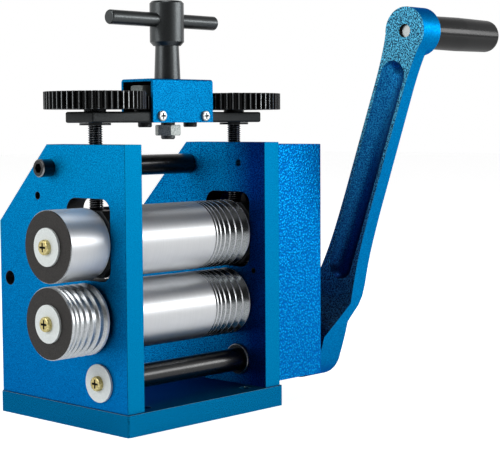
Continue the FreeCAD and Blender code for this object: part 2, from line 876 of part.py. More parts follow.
def make_upper_block(label, side):
    """The bearing block that slides in a plate's window and carries the upper roll."""
    half_width = S.block_width / 2 - S.slide_clearance
    inner = plate_inner if side > 0 else -plate_outer
    low = (inner - S.block_proud, roll_y - half_width, block_bottom)
    high = (inner + S.plate_thickness + S.block_proud, roll_y + half_width, block_top)
    body = new_body(label + "_blank", (low[0], ZERO, ZERO))
    edge = S.window_corner * 0.9
    outline = [
        (low[1] + edge, low[2]),
        (high[1] - edge, low[2]),
        (high[1], low[2] + edge),
        (high[1], high[2] - edge),
        (high[1] - edge, high[2]),
        (low[1] + edge, high[2]),
        (low[1], high[2] - edge),
        (low[1], low[2] + edge),
    ]
    thickness = S.plate_thickness + 2 * S.block_proud
    draw_polygon(new_sketch_padded(body, thickness), outline)
    tools = [cylinder(label + "_bore", "x", S.journal_diameter / 2 + S.running_clearance,
                      low[0] - 1, thickness + 2, (ZERO, roll_y, upper_roll_z))]
    for number, (x, y) in enumerate(spring_places(side)):
        tools.append(cylinder(f"{label}_spring_pocket_{number}", "z", S.spring_pocket_diameter / 2,
                              block_bottom - 1, S.spring_pocket_depth + 1, (x, y, ZERO)))
    return cut(label, body, tools)


def make_springs(label, side):
    """Two compression springs that lift the block, from the window's floor into its pockets."""
    wire = float(S.spring_wire) / 2
    coil = float(S.spring_diameter) / 2 - wire
    reach = float(S.window_floor_gap + S.spring_pocket_depth)
    climb = reach - 2 * wire - 0.1
    pitch = climb / float(S.spring_turns)
    springs = []
    for number, (x, y) in enumerate(spring_places(side)):
        helix = Part.makeHelix(pitch, climb, coil)
        section = Part.Wire(Part.makeCircle(wire, FreeCAD.Vector(coil, 0, 0), FreeCAD.Vector(0, 1, 0)))
        coil_shape = Part.Wire(helix).makePipeShell([section], True, True)
        spring = DOC.addObject("Part::Feature", f"{label}_{number}")
        spring.Shape = coil_shape
        bind_place(spring, (x, y, window_bottom + S.spring_wire / 2 + 0.05))
        springs.append(spring)
    return group(label, springs)


# ---------------------------------------------------------------- rolls

def groove_profile():
    """Corners of the V grooves, from the plain part of the roll to its right-hand end."""
    corners = []
    edge = roll_half - S.groove_end_land
    for number in reversed(range(GROOVES)):
        width = S.groove_first_width + number * S.groove_width_step
        corners.append((edge, roll_radius))
        corners.append((edge - width / 2, roll_radius - width / 2))
        corners.append((edge - width, roll_radius))
        edge = edge - width - S.groove_land
    return list(reversed(corners))


def bead_profile():
    """Corners of the half-round grooves of the lower extension roll, from its outer end inwards."""
    corners = []
    start = -extension_end + S.bead_end_land
    for number in range(BEADS):
        width = S.bead_first_width + number * S.bead_width_step
        corners.append((start, roll_radius))
        for share in (0.25, 0.75):
            depth = width / 2 * math.sin(math.pi * share)
            corners.append((start + width * share, roll_radius - depth))
        corners.append((start + width, roll_radius))
        start = start + width + S.bead_land
    return corners


def make_roll(label, height):
    """A steel roll in one piece with its journals, extension stub and gear seat."""
    journal = S.journal_diameter / 2
    stub = S.extension_stub_diameter / 2
    seat = S.gear_seat_diameter / 2
    seat_end = roll_gear_end if label == "upper_roll" else reduction_end
    edge = Size(0.5)
    tapped = S.pan_screw_diameter / 2 + S.seat_clearance
    tapped_depth = -extension_end + S.pan_screw_reach + 2
    corners = [
        (tapped_depth, ZERO),
        (tapped_depth, tapped),
        (-extension_end, tapped),
        (-extension_end, stub),
        (-journal_end, stub),
        (-journal_end, journal),
        (-roll_half, journal),
        (-roll_half, roll_radius - edge),
        (edge - roll_half, roll_radius),
    ]
    corners += groove_profile()
    ring_start = seat_end + S.face_clearance
    groove_floor = seat - 0.8
    ring_end = ring_start + S.retaining_ring_thickness + 0.1
    corners += [
        (roll_half - edge, roll_radius),
        (roll_half, roll_radius - edge),
        (roll_half, journal),
        (journal_end, journal),
        (journal_end, seat),
        (ring_start, seat),
        (ring_start, groove_floor),
        (ring_end, groove_floor),
        (ring_end, seat),
        (ring_end + 1, seat),
        (ring_end + 1, ZERO),
    ]
    return turned(label, "x", corners, (ZERO, roll_y, height))


def make_extension_roll(label, height, surface):
    """The roll on the outside of the left plate; surface gives the corners of its working face."""
    bore = S.extension_stub_diameter / 2 + S.seat_clearance
    edge = Size(0.4)
    corners = [
        (-extension_start, bore),
        (-extension_end, bore),
        (-extension_end, roll_radius - edge),
        (edge - extension_end, roll_radius),
    ]
    corners += surface
    corners += [
        (-extension_start - edge, roll_radius),
        (-extension_start, roll_radius - edge),
    ]
    return turned(label, "x", corners, (ZERO, roll_y, height))


def make_end_hardware(prefix, height):
    """The washer and screw on the outer end of an extension roll."""
    place = (ZERO, roll_y, height)
    outer = -extension_end - S.end_washer_thickness
    washer = ring(prefix + "_end_washer", "x", outer, -extension_end, S.end_washer_diameter / 2,
                  S.pan_screw_diameter / 2 + S.running_clearance * 2, place)
    screw = pan_screw(prefix + "_end_screw", (outer, roll_y, height), S.pan_head_diameter / 2,
                      S.pan_head_height, S.pan_screw_diameter / 2,
                      S.pan_screw_reach + S.end_washer_thickness, -1)
    return [washer, screw]


def make_thrust_washer():
    """The thin washer between the left block and the upper extension roll."""
    gap = (S.extension_gap - S.block_proud - S.thrust_washer_thickness) / 2
    start = -extension_start + gap
    return ring("upper_thrust_washer", "x", start, start + S.thrust_washer_thickness,
                S.thrust_washer_diameter / 2, S.journal_diameter / 2 + S.running_clearance,
                (ZERO, roll_y, upper_roll_z))


def make_roll_gear(label, height, turn):
    module = S.roll_diameter / ROLL_GEAR_TEETH
    return spur_gear(label, "x", ROLL_GEAR_TEETH, module, S.roll_gear_width,
                     S.gear_seat_diameter / 2 + S.seat_clearance,
                     (roll_gear_start, roll_y, height), turn)


def make_retaining_ring(label, height, seat_end):
    start = seat_end + S.face_clearance + 0.05
    bore = S.gear_seat_diameter / 2 - 0.8 + S.seat_clearance
    return ring(label, "x", start, start + S.retaining_ring_thickness, S.retaining_ring_diameter / 2,
                bore, (ZERO, roll_y, height))


# ---------------------------------------------------------------- drive

def line_of_centres():
    """Direction from the drive axis to the lower roll's axis, in degrees from +Y towards +Z."""
    angle = math.degrees(math.atan2(float(lower_roll_z - drive_z), float(roll_y - drive_y)))
    rise = (lower_roll_z - drive_z).text
    run = (roll_y - drive_y).text
    return Size(angle, f"(atan2({rise}; {run}) / 1deg)")


def make_reduction_gear():
    turn = line_of_centres() + 180 + 180 / REDUCTION_TEETH
    return spur_gear("reduction_gear", "x", REDUCTION_TEETH, S.reduction_module,
                     S.reduction_gear_width, S.gear_seat_diameter / 2 + S.seat_clearance,
                     (reduction_start, roll_y, lower_roll_z), turn, -DRIVE_PROFILE_SHIFT)


def make_drive_pinion():
    return spur_gear("drive_pinion", "x", DRIVE_TEETH, S.reduction_module,
                     S.reduction_gear_width + 1, S.shaft_journal_diameter / 2 + S.seat_clearance,
                     (reduction_start - 0.5, drive_y, drive_z), line_of_centres(),
                     DRIVE_PROFILE_SHIFT)


def make_drive_shaft():
    """The crankshaft: full diameter between the bushes, reduced where it turns and drives."""
    full = S.shaft_diameter / 2
    journal = S.shaft_journal_diameter / 2
    shoulder = plate_inner - S.drive_bush_flange_thickness - S.face_clearance
    tapped = S.pan_screw_diameter / 2 + S.seat_clearance
    left_end = -plate_outer - S.face_clearance
    crank_tapped = S.crank_screw_diameter / 2 + S.seat_clearance
    right_end = hub_end - 1
    corners = [
        (left_end + S.pan_screw_reach + 2, ZERO),
        (left_end + S.pan_screw_reach + 2, tapped),
        (left_end, tapped),
        (left_end, journal),
        (-shoulder, journal),
        (-shoulder, full),
        (shoulder, full),
        (shoulder, journal),
        (right_end, journal),
        (right_end, crank_tapped),
        (right_end - S.crank_screw_reach - 1, crank_tapped),
        (right_end - S.crank_screw_reach - 1, ZERO),
    ]
    return turned("drive_shaft", "x", corners, (ZERO, drive_y, drive_z))


def make_shaft_end_hardware():
    """The washer and screw that keep the shaft in from the left."""
    inner = -plate_outer - S.face_clearance
    outer = inner - S.end_washer_thickness
    washer = ring("shaft_end_washer", "x", outer, inner, S.shaft_washer_diameter / 2,
                  S.pan_screw_diameter / 2 + S.running_clearance * 2, (ZERO, drive_y, drive_z))
    screw = pan_screw("shaft_end_screw", (outer, drive_y, drive_z), S.pan_head_diameter / 2,
                      S.pan_head_height, S.pan_screw_diameter / 2,
                      S.pan_screw_reach + S.end_washer_thickness, -1)
    return [washer, screw]


# ---------------------------------------------------------------- crank

def crank_side_profile():
    """The arm seen edge-on: (x, distance along the arm) of its dog-leg, hub end first."""
    tip = arm_inner + S.arm_thickness
    outer = arm_inner + S.arm_root_thickness
    step = outer - hub_end
    low = -S.hub_radius - 1
    high = S.crank_length + S.boss_radius + 1
    bend = S.hub_radius * 1.3
    return [
        (hub_start, low),
        (hub_end, low),
        (hub_end, bend),
        (hub_end + step * 0.22, bend + step * 0.32),
        (hub_end + step * 0.72, bend + step * 0.95),
        (outer - step * 0.08, bend + step * 1.45),
        (outer, bend + step * 2.1),
        (tip, high),
        (arm_inner, high),
        (arm_inner, bend * 1.5),
        (hub_start, bend * 0.66),
    ]


def crank_face_outline():
    """Half-widths of the arm's face along its length: a flare at the hub, then nearly parallel."""
    waist = float(S.arm_half_width)
    flare = float(S.hub_radius) - waist
    length = float(S.crank_length)
    stations = (
        (0.0, 0.98),
        (0.11, 0.87),
        (0.17, 0.68),
        (0.23, 0.44),
        (0.30, 0.20),
        (0.39, 0.06),
        (0.55, 0.0),
        (0.80, 0.0),
        (0.90, 0.06),
        (1.0, (float(S.boss_radius) * 0.985 - waist) / flare),
    )
    return [(share * length, waist + flare * swell) for share, swell in stations]


def crank_recess():
    """The scooped recess in the arm's face: a round-bottomed trough with round ends."""
    half = S.arm_recess_width / 2
    radius = (half * half + S.arm_recess_depth * S.arm_recess_depth) / (S.arm_recess_depth * 2)
    depth = arm_inner + S.arm_recess_depth - radius
    low = S.arm_recess_start + half
    high = S.arm_recess_end - half
    trough = cylinder("crank_recess_trough", "z", radius, low, high - low, (depth, ZERO, ZERO))
    ends = []
    for name, along in (("low", low), ("high", high)):
        end = DOC.addObject("Part::Sphere", f"crank_recess_{name}_end")
        end.setExpression("Radius", radius.text)
        bind_place(end, (depth, ZERO, along))
        ends.append(end)
    return fuse("crank_recess", [trough] + ends)


def make_crank_arm():
    """A cast arm: dog-leg side profile, flared face, hub and boss, and a long recess."""
    place = (ZERO, drive_y, drive_z)
    side = new_body("crank_side", (ZERO, ZERO, ZERO))
    side_sketch = new_sketch(side, "XZ_Plane")
    draw_polygon(side_sketch, crank_side_profile())
    side_pad = pad(side, side_sketch, S.hub_radius * 2 + 2)
    side_pad.Midplane = True

    face = new_body("crank_face", (hub_start, ZERO, ZERO))
    reach = S.arm_offset + S.boss_length
    face_sketch = new_sketch(face, "YZ_Plane")
    stations = crank_face_outline()
    right = [FreeCAD.Vector(width, along, 0) for along, width in stations]
    left = [FreeCAD.Vector(-width, along, 0) for along, width in reversed(stations)]
    for points in (right, left):
        curve = Part.BSplineCurve()
        curve.interpolate(points)
        face_sketch.addGeometry(curve, False)
    face_sketch.addGeometry(Part.LineSegment(right[-1], left[0]), False)
    face_sketch.addGeometry(Part.LineSegment(left[-1], right[0]), False)
    pad(face, face_sketch, reach)

    hub_disc = cylinder("crank_hub_disc", "x", S.hub_radius, hub_start, S.hub_length, (ZERO, ZERO, ZERO))
    outline = fuse("crank_outline", [face, hub_disc])
    blade = DOC.addObject("Part::Common", "crank_blade")
    blade.Base = side
    blade.Tool = outline
    boss = cylinder("crank_boss", "x", S.boss_radius, arm_inner, S.boss_length,
                    (ZERO, ZERO, S.crank_length))
    casting = fuse("crank_casting", [blade, boss])

    bore = S.shaft_journal_diameter / 2 + S.seat_clearance
    tools = [
        crank_recess(),
        cylinder("crank_bore", "x", bore, hub_start - 1, S.hub_length + 2, (ZERO, ZERO, ZERO)),
        cylinder("crank_pin_hole", "x", S.grip_pin_diameter / 2 + S.seat_clearance, arm_inner - 1,
                 S.boss_length + 2, (ZERO, ZERO, S.crank_length)),
    ]
    arm = cut("crank_arm", casting, tools)
    bind_place(arm, place)
    bind_turn(arm, "x", S.crank_lean)
    return arm


def on_crank(obj, along):
    """Carry a piece on the leaning arm, at a distance along it from the drive axis."""
    angle = S.crank_lean.text
    lean = math.radians(S.crank_lean.value)
    y = drive_y - Size(math.sin(lean), f"sin({angle} * 1deg)") * along
    z = drive_z + Size(math.cos(lean), f"cos({angle} * 1deg)") * along
    bind_place(obj, (ZERO, y, z))
    return obj


def make_crank_fixing():
    """The washer and screw that hold the crank on the end of its shaft."""
    place = (ZERO, drive_y, drive_z)
    washer = ring("crank_washer", "x", hub_end, hub_end + S.crank_washer_thickness,
                  S.crank_washer_diameter / 2, S.crank_screw_diameter / 2 + S.running_clearance * 2,
                  place)
    seat = hub_end + S.crank_washer_thickness
    screw = socket_screw("crank_screw", "x", (seat, drive_y, drive_z), S.crank_screw_reach, 1,
                         S.crank_screw_diameter / 2, S.cap_head_height)
    return [washer, screw]


def make_grip_spindle():
    """The pin that the grip turns on: pressed into the boss, with a head in the grip's end."""
    pin = S.grip_pin_diameter / 2
    head = S.grip_head_diameter / 2
    head_start = grip_end - S.grip_head_height - 1
    corners = [
        (arm_inner + S.grip_pin_recess, ZERO),
        (head_start + S.grip_head_height, ZERO),
        (head_start + S.grip_head_height, head - 0.6),
        (head_start + S.grip_head_height - 0.6, head),
        (head_start, head),
        (head_start, pin),
        (arm_inner + S.grip_pin_recess + 0.5, pin),
        (arm_inner + S.grip_pin_recess, pin - 0.5),
    ]
    return on_crank(turned("grip_spindle", "x", corners), S.crank_length)


def make_grip():
    """The turning grip: slightly barrelled, with rounded ends and a bore for its spindle."""
    bore = S.grip_pin_diameter / 2 + S.running_clearance
    recess = S.grip_head_diameter / 2 + S.running_clearance * 6
    recess_start = grip_end - S.grip_head_height - 1 - S.face_clearance
    radius = S.grip_diameter / 2
    rounding = S.grip_end_radius
    outer = []
    steps = 4
    for step in range(steps + 1):
        angle = math.pi / 2 * step / steps
        outer.append((rounding * (1 - math.cos(angle)), radius - rounding * (1 - math.sin(angle))))
    corners = [(grip_start, bore)]
    corners += [(grip_start + along, across) for along, across in outer]
    corners += [((grip_start + grip_end) / 2, radius + S.grip_barrel)]
    corners += [(grip_end - along, across) for along, across in reversed(outer)]
    corners += [(grip_end, recess), (recess_start, recess), (recess_start, bore)]
    return on_crank(turned("handle_grip", "x", corners), S.crank_length)


# ---------------------------------------------------------------- adjusting train

def make_bridge_bar():
    """The bar that ties both adjusting screws and carries the idlers and the tee."""
    half = plate_middle + S.bridge_overhang
    depth = S.bridge_depth / 2
    bar = box("bridge_blank", (-half, roll_y - depth, bridge_bottom), (half, roll_y + depth, bridge_top))
    running = S.adjusting_screw_diameter / 2 + S.running_clearance
    holes = [
        ("left_screw", -plate_middle, running),
        ("left_axle", -idler_x, S.axle_diameter / 2 + S.seat_clearance),
        ("tee", ZERO, running),
        ("right_axle", idler_x, S.axle_diameter / 2 + S.seat_clearance),
        ("right_screw", plate_middle, running),
    ]
    tools = [cylinder(f"bridge_hole_{name}", "z", radius, bridge_bottom - 1, S.bridge_thickness + 2,
                      (x, roll_y, ZERO)) for name, x, radius in holes]
    for number, (x, face, towards) in enumerate(bridge_screw_places()):
        start = face if towards < 0 else face - S.bridge_screw_reach
        tools.append(cylinder(f"bridge_tapped_{number}", "y",
                              S.bridge_screw_diameter / 2 + S.seat_clearance, start - 0.5,
                              S.bridge_screw_reach + 1, (x, ZERO, bridge_screw_height())))
    return cut("bridge_bar", bar, tools)


def bridge_screw_height():
    return bridge_bottom + S.bridge_thickness * 0.6


def bridge_screw_places():
    """The four cover screws: x, the bar's face that each goes into, and its outward side."""
    depth = S.bridge_depth / 2
    places = []
    for towards in (-1, 1):
        for side in (-1, 1):
            places.append((side * S.bridge_screw_spacing / 2, roll_y + towards * depth, towards))
    return places


def make_bridge_cover():
    """The folded channel over the small gears: open at both ends, legs screwed to the bar."""
    half = S.bridge_cover_length / 2
    wall = S.bridge_cover_wall
    inside = S.bridge_depth / 2
    outside = inside + wall
    bend = S.bridge_cover_corner
    body = new_body("bridge_cover_blank", (-half, roll_y, ZERO))
    outline = [
        (-outside, bridge_bottom),
        (-inside, bridge_bottom),
        (-inside, bridge_cover_top - wall),
        (inside, bridge_cover_top - wall),
        (inside, bridge_bottom),
        (outside, bridge_bottom),
        (outside, bridge_cover_top - bend),
        (outside - bend * 0.3, bridge_cover_top - bend * 0.3),
        (outside - bend, bridge_cover_top),
        (bend - outside, bridge_cover_top),
        (bend * 0.3 - outside, bridge_cover_top - bend * 0.3),
        (-outside, bridge_cover_top - bend),
    ]
    draw_polygon(new_sketch_padded(body, S.bridge_cover_length), outline)
    tools = [cylinder("bridge_cover_stem_hole", "z", S.stem_lower_diameter / 2 + S.running_clearance * 8,
                      bridge_cover_top - wall - 1, wall + 2, (ZERO, roll_y, ZERO))]
    for number, (x, face, towards) in enumerate(bridge_screw_places()):
        start = face - 1 if towards > 0 else face - wall - 1
        tools.append(cylinder(f"bridge_cover_hole_{number}", "y",
                              S.bridge_screw_diameter / 2 + S.running_clearance * 2, start,
                              wall + 2, (x, ZERO, bridge_screw_height())))
    return cut("bridge_cover", body, tools)


def make_bridge_cover_screws():
    """Small pan-head screws along y, through the cover's legs into the bar."""
    head = S.bridge_screw_head_diameter / 2
    tall = S.bridge_screw_head_height
    shank = S.bridge_screw_diameter / 2
    reach = S.bridge_screw_reach + S.bridge_cover_wall
    screws = []
    for number, (x, face, towards) in enumerate(bridge_screw_places()):
        corners = [
            (-reach, ZERO),
            (tall, ZERO),
            (tall, head * 0.6),
            (tall * 0.5, head * 0.95),
            (ZERO, head),
            (ZERO, shank),
            (-reach, shank),
        ]
        screw = turned(f"bridge_cover_screw_{number}", "x", corners,
                       (x, face + towards * S.bridge_cover_wall, bridge_screw_height()))
        screw.Placement.Rotation = FreeCAD.Rotation(FreeCAD.Vector(0, 0, 1), 90 * towards)
        screws.append(screw)
    return group("bridge_cover_screws", screws)


def idler_places():
    return [("left", -idler_x), ("right", idler_x)]


def make_idler_axles():
    """Studs held in the bar; the idlers turn on them, under a nut."""
    radius = S.axle_diameter / 2
    edge = Size(0.5)
    bottom = bridge_bottom - S.axle_drop
    top = gears_bottom + S.axle_nut_lift + S.nut_height + 0.4
    shoulder = S.collar_diameter / 2
    corners = [
        (bottom, ZERO),
        (bottom, radius - edge),
        (bottom + edge, radius),
        (bridge_top, radius),
        (bridge_top, shoulder),
        (gears_bottom - 0.1, shoulder),
        (gears_bottom - 0.1, radius),
        (top - edge, radius),
        (top, radius - edge),
        (top, ZERO),
    ]
    return group("idler_axles", [turned(f"idler_axle_{name}", "z", corners, (x, roll_y, ZERO))
                                 for name, x in idler_places()])


def hexagon_nut(name, width, start, place, turn=0):
    """A hexagon nut with turned chamfers, bored for its axle."""
    blank = hexagon_prism(name + "_blank", width, start, S.nut_height, place)
    blank.Placement.Rotation = FreeCAD.Rotation(FreeCAD.Vector(0, 0, 1), turn)
    corner = width / root(Size(3))
    chamfer = Size(0.9)
    bore = S.axle_diameter / 2 + S.seat_clearance
    end = start + S.nut_height
    profile = [
        (start, bore),
        (end, bore),
        (end, corner - chamfer),
        (end - chamfer * 0.6, corner + 0.05),
        (start + chamfer * 0.6, corner + 0.05),
        (start, corner - chamfer),
    ]
    envelope = turned(name + "_turning", "z", profile, place)
    nut = DOC.addObject("Part::Common", name)
    nut.Label = name
    nut.Base = blank
    nut.Tool = envelope
    return nut


def make_idler_nuts():
    start = gears_bottom + S.axle_nut_lift
    return group("idler_nuts", [hexagon_nut(f"idler_nut_{name}", S.axle_nut_width, start,
                                            (x, roll_y, ZERO), IDLER_NUT_TURN)
                                for name, x in idler_places()])


def make_adjusting_screw(label, x):
    """The screw that sets one end of the upper roll; its thread is left plain."""
    radius = S.adjusting_screw_diameter / 2
    edge = Size(0.8)
    top = gears_top + S.screw_top_proud
    bottom = block_top + 0.05
    corners = [
        (bottom, ZERO),
        (bottom, radius - edge),
        (bottom + edge, radius),
        (top - edge * 0.5, radius),
        (top, radius - edge * 0.5),
        (top, ZERO),
    ]
    return turned(label, "z", corners, (x, roll_y, ZERO))


def make_screw_fittings(prefix, x):
    """The gear, the collar under it and the clip under the bar, all fixed to one screw."""
    place = (x, roll_y, ZERO)
    bore = S.adjusting_screw_diameter / 2 + S.seat_clearance
    collar = ring(prefix + "_screw_collar", "z", bridge_top + 0.05, gears_bottom,
                  S.collar_diameter / 2, bore, place)
    clip_top = bridge_bottom - 0.1
    clip = ring(prefix + "_screw_clip", "z", clip_top - S.clip_thickness, clip_top,
                S.clip_diameter / 2, bore, place)
    return [collar, clip]


def make_adjusting_gears():
    """Pinion, two idlers and two screw gears, phased so that all of them mesh."""
    module = adjusting_module
    bore = S.adjusting_screw_diameter / 2 + S.seat_clearance
    gears = [spur_gear("tee_pinion", "z", TEE_TEETH, module, S.adjusting_gear_width, bore,
                       (ZERO, roll_y, gears_bottom), ZERO)]
    idler_bore = S.axle_diameter / 2 + S.running_clearance
    idler_turns = {"left": ZERO, "right": Size(180 / IDLER_TEETH)}
    for name, x in idler_places():
        gears.append(spur_gear(name + "_idler_gear", "z", IDLER_TEETH, module, S.idler_gear_width,
                               idler_bore, (x, roll_y, gears_bottom), idler_turns[name]))
    screw_turns = {"left": Size(180 / SCREW_GEAR_TEETH), "right": ZERO}
    for name, side in (("left", -1), ("right", 1)):
        gears.append(spur_gear(name + "_screw_gear", "z", SCREW_GEAR_TEETH, module,
                               S.adjusting_gear_width, bore,
                               (side * plate_middle, roll_y, gears_bottom), screw_turns[name]))
    return gears


# ---------------------------------------------------------------- tee handle

def make_tee_spindle():
    """The tee's turned body: thread below, tapered stem, and a cross-bored head."""
    thread = S.adjusting_screw_diameter / 2
    lower = S.stem_lower_diameter / 2
    upper = S.stem_upper_diameter / 2
    head = S.tee_head_diameter / 2
    chamfer = S.tee_head_chamfer
    bottom = bridge_bottom - S.tee_thread_drop
    shoulder = gears_top + 0.05
    corners = [
        (bottom, ZERO),
        (bottom, thread - 0.7),
        (bottom + 0.7, thread),
        (shoulder, thread),
        (shoulder, lower),
        (bridge_cover_top, lower),
        (tee_head_bottom, upper),
        (tee_head_bottom, head - chamfer * 1.6),
        (tee_head_bottom + chamfer * 1.8, head),
        (tee_top - chamfer, head),
        (tee_top, head - chamfer),
        (tee_top, ZERO),
    ]
    blank = turned("tee_spindle_blank", "z", corners, (ZERO, roll_y, ZERO))
    bore = cylinder("tee_cross_hole", "x", S.tee_bar_diameter / 2 + S.seat_clearance, -head - 1,
                    S.tee_head_diameter + 2, (ZERO, roll_y, tee_top - S.tee_bar_below_top))
    return cut("tee_spindle", blank, [bore])


def make_tee_bar():
    """The cross bar, with rounded ends."""
    half = S.tee_bar_length / 2
    radius = S.tee_bar_diameter / 2
    edge = S.tee_bar_rounding
    place = (-S.tee_bar_shift, roll_y, tee_top - S.tee_bar_below_top)
    corners = [
        (-half, ZERO),
        (-half, radius - edge),
        (edge * 0.3 - half, radius - edge * 0.3),
        (edge - half, radius),
        (half - edge, radius),
        (half - edge * 0.3, radius - edge * 0.3),
        (half, radius - edge),
        (half, ZERO),
    ]
    return turned("tee_bar", "x", corners, place)


def make_tee_nut():
    start = bridge_bottom - S.tee_nut_drop - S.nut_height
    nut = hexagon_nut("tee_nut_blank", S.hexagon_width, start, (ZERO, roll_y, ZERO))
    bore = cylinder("tee_nut_bore", "z", S.adjusting_screw_diameter / 2 + S.seat_clearance,
                    start - 1, S.nut_height + 2, (ZERO, roll_y, ZERO))
    return cut("tee_nut", nut, [bore])


# ---------------------------------------------------------------- assembly

def build():
    """Make every sub-part; the label of each is the name of its file."""
    pieces = [
        make_base(),
        make_side_plate("left_side_plate", -1),
        make_side_plate("right_side_plate", 1),
        make_plate_screws(),
        make_tie_rod(),
        make_tie_rod_screws(),
        make_gear_cover(),
        make_cover_pillars(),
        make_cover_screws(),
        make_thrust_washer(),
        make_roll("upper_roll", upper_roll_z),
        make_roll("lower_roll", lower_roll_z),
        make_extension_roll("upper_extension_roll", upper_roll_z, []),
        make_extension_roll("lower_extension_roll", lower_roll_z, bead_profile()),
        make_roll_gear("lower_roll_gear", lower_roll_z, Size(90)),
        make_roll_gear("upper_roll_gear", upper_roll_z, Size(270 + 180 / ROLL_GEAR_TEETH)),
        make_retaining_ring("upper_gear_ring", upper_roll_z, roll_gear_end),
        make_retaining_ring("lower_gear_ring", lower_roll_z, reduction_end),
        make_reduction_gear(),
        make_drive_pinion(),
        make_drive_shaft(),
        make_crank_arm(),
        make_grip_spindle(),
        make_grip(),
        make_bridge_bar(),
        make_bridge_cover(),
        make_bridge_cover_screws(),
        make_idler_axles(),
        make_idler_nuts(),
        make_tee_spindle(),
        make_tee_bar(),
        make_tee_nut(),
    ]
    for name, side in (("left", -1), ("right", 1)):
        pieces.append(make_roll_bush(f"lower_{name}_bush", side))
        pieces.append(make_drive_bush(f"drive_{name}_bush", side))
        pieces.append(make_upper_block(f"{name}_upper_block", side))
        pieces.append(make_springs(f"{name}_lift_springs", side))
        pieces.append(make_adjusting_screw(f"{name}_adjusting_screw", side * plate_middle))
        pieces += make_screw_fittings(name, side * plate_middle)
    pieces += make_adjusting_gears()
    pieces += make_end_hardware("upper", upper_roll_z)
    pieces += make_end_hardware("lower", lower_roll_z)
    pieces += make_shaft_end_hardware()
    pieces += make_crank_fixing()
    return pieces


def check(pieces):
    """Stop before anything is written if an object failed or a shape is not sound."""
    for item in DOC.Objects:
        if {"Invalid", "Error"} & set(item.State):
            raise RuntimeError(f"{item.Label} failed: {item.State}")
    for piece in pieces:
        if piece.Shape.isNull() or not piece.Shape.isValid() or not piece.Shape.Solids:
            raise RuntimeError(f"{piece.Label} has no sound shape")


def write(pieces):
    os.makedirs("parts", exist_ok=True)
    for piece in pieces:
        piece.Shape.exportStep(f"parts/{piece.Label}.step")
    print(len(pieces), "sub-parts written")


PIECES = build()
DOC.recompute()
check(PIECES)
write(PIECES)
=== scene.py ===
# %% [markdown]
# # A jewellers rolling mill
# A lesson in turning a plain solid model into something that looks made: rolled, turned,
# milled, painted and screwed together.  Each cell adds one craft, and prints what it made.
# Everything is in metres, in the frame of the solid parts: +Z up, +X to the crank side.

import json
import math

import bmesh
import bpy
from mathutils import Matrix, Vector


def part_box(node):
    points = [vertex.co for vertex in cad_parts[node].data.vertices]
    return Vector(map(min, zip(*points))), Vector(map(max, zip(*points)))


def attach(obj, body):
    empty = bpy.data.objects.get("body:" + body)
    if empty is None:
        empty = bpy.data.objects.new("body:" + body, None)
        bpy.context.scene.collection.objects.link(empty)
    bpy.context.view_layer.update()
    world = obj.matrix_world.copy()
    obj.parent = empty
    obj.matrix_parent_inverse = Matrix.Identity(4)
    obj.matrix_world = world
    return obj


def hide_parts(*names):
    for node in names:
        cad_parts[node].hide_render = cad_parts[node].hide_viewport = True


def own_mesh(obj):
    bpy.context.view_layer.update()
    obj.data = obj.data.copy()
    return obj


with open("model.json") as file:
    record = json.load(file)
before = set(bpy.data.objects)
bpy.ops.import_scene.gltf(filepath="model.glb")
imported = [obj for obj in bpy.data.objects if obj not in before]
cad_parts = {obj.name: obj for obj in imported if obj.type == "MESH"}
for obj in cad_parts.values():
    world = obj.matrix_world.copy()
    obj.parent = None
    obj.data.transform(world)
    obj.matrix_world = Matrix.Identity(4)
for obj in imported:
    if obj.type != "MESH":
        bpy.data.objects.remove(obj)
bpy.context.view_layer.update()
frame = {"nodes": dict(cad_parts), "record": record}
MM = 0.001

# %% [markdown]
# ## Colours and shader nodes
# A colour picked on a screen isn't the share of light that a surface reflects, so every
# colour goes through one function that makes it linear.  A second one adds a shader node
# with its settings and links in one call, so that each material reads as a recipe.

# %% Colours and nodes


def linear(code):
    """A hex screen colour as the linear values that a shader works in."""
    channels = [int(code[start:start + 2], 16) / 255 for start in (0, 2, 4)]
    straight = [c / 12.92 if c <= 0.04045 else ((c + 0.055) / 1.055) ** 2.4 for c in channels]
    return (*straight, 1.0)


def add_node(tree, kind, inputs=None, stops=(), **settings):
    """Add a node; its inputs take plain values or the output sockets of other nodes.

    Stops are the places and hex colours of a colour ramp.
    """
    made = tree.nodes.new(kind)
    for name, value in settings.items():
        setattr(made, name, value)
    for number, (place, code) in enumerate(stops):
        made.color_ramp.elements[number].position = place
        made.color_ramp.elements[number].color = linear(code)
    for name, value in (inputs or {}).items():
        if isinstance(value, bpy.types.NodeSocket):
            tree.links.new(value, made.inputs[name])
        else:
            made.inputs[name].default_value = value
    return made


print("the screen's middle grey reflects", round(linear("808080")[0], 2), "of the light")

# %% [markdown]
# ## One recipe for every finish
# Paint, plating and bare steel are each told apart by three things: colour, how sharp the
# reflection is, and the small relief in it.  Each could have a pattern of its own, but on a
# real surface the hollows are darker and duller together, so here one grain drives all
# three.  It is drawn in object space with real sizes: 1 mm stays 1 mm on every piece.

# %% The grain of a surface


def grain_level(tree, place, grain_mm, stretch, detail, cells):
    """The height of a grain, from hollow to top; cells are round pools, highest in the middle."""
    scaled = add_node(tree, "ShaderNodeMapping",
                      {"Vector": place.outputs["Object"],
                       "Scale": [share / MM for share in stretch]})
    if not cells:
        noise = add_node(tree, "ShaderNodeTexNoise", {"Vector": scaled.outputs["Vector"],
                                                      "Scale": 1 / grain_mm, "Detail": detail})
        return noise.outputs["Fac"]
    pools = add_node(tree, "ShaderNodeTexVoronoi",
                     {"Vector": scaled.outputs["Vector"], "Scale": 1 / grain_mm,
                      "Smoothness": 0.4}, feature="SMOOTH_F1")
    raised = add_node(tree, "ShaderNodeMapRange",
                      {"Value": pools.outputs["Distance"], "From Min": 0.75, "From Max": 0.05})
    return raised.outputs["Result"]


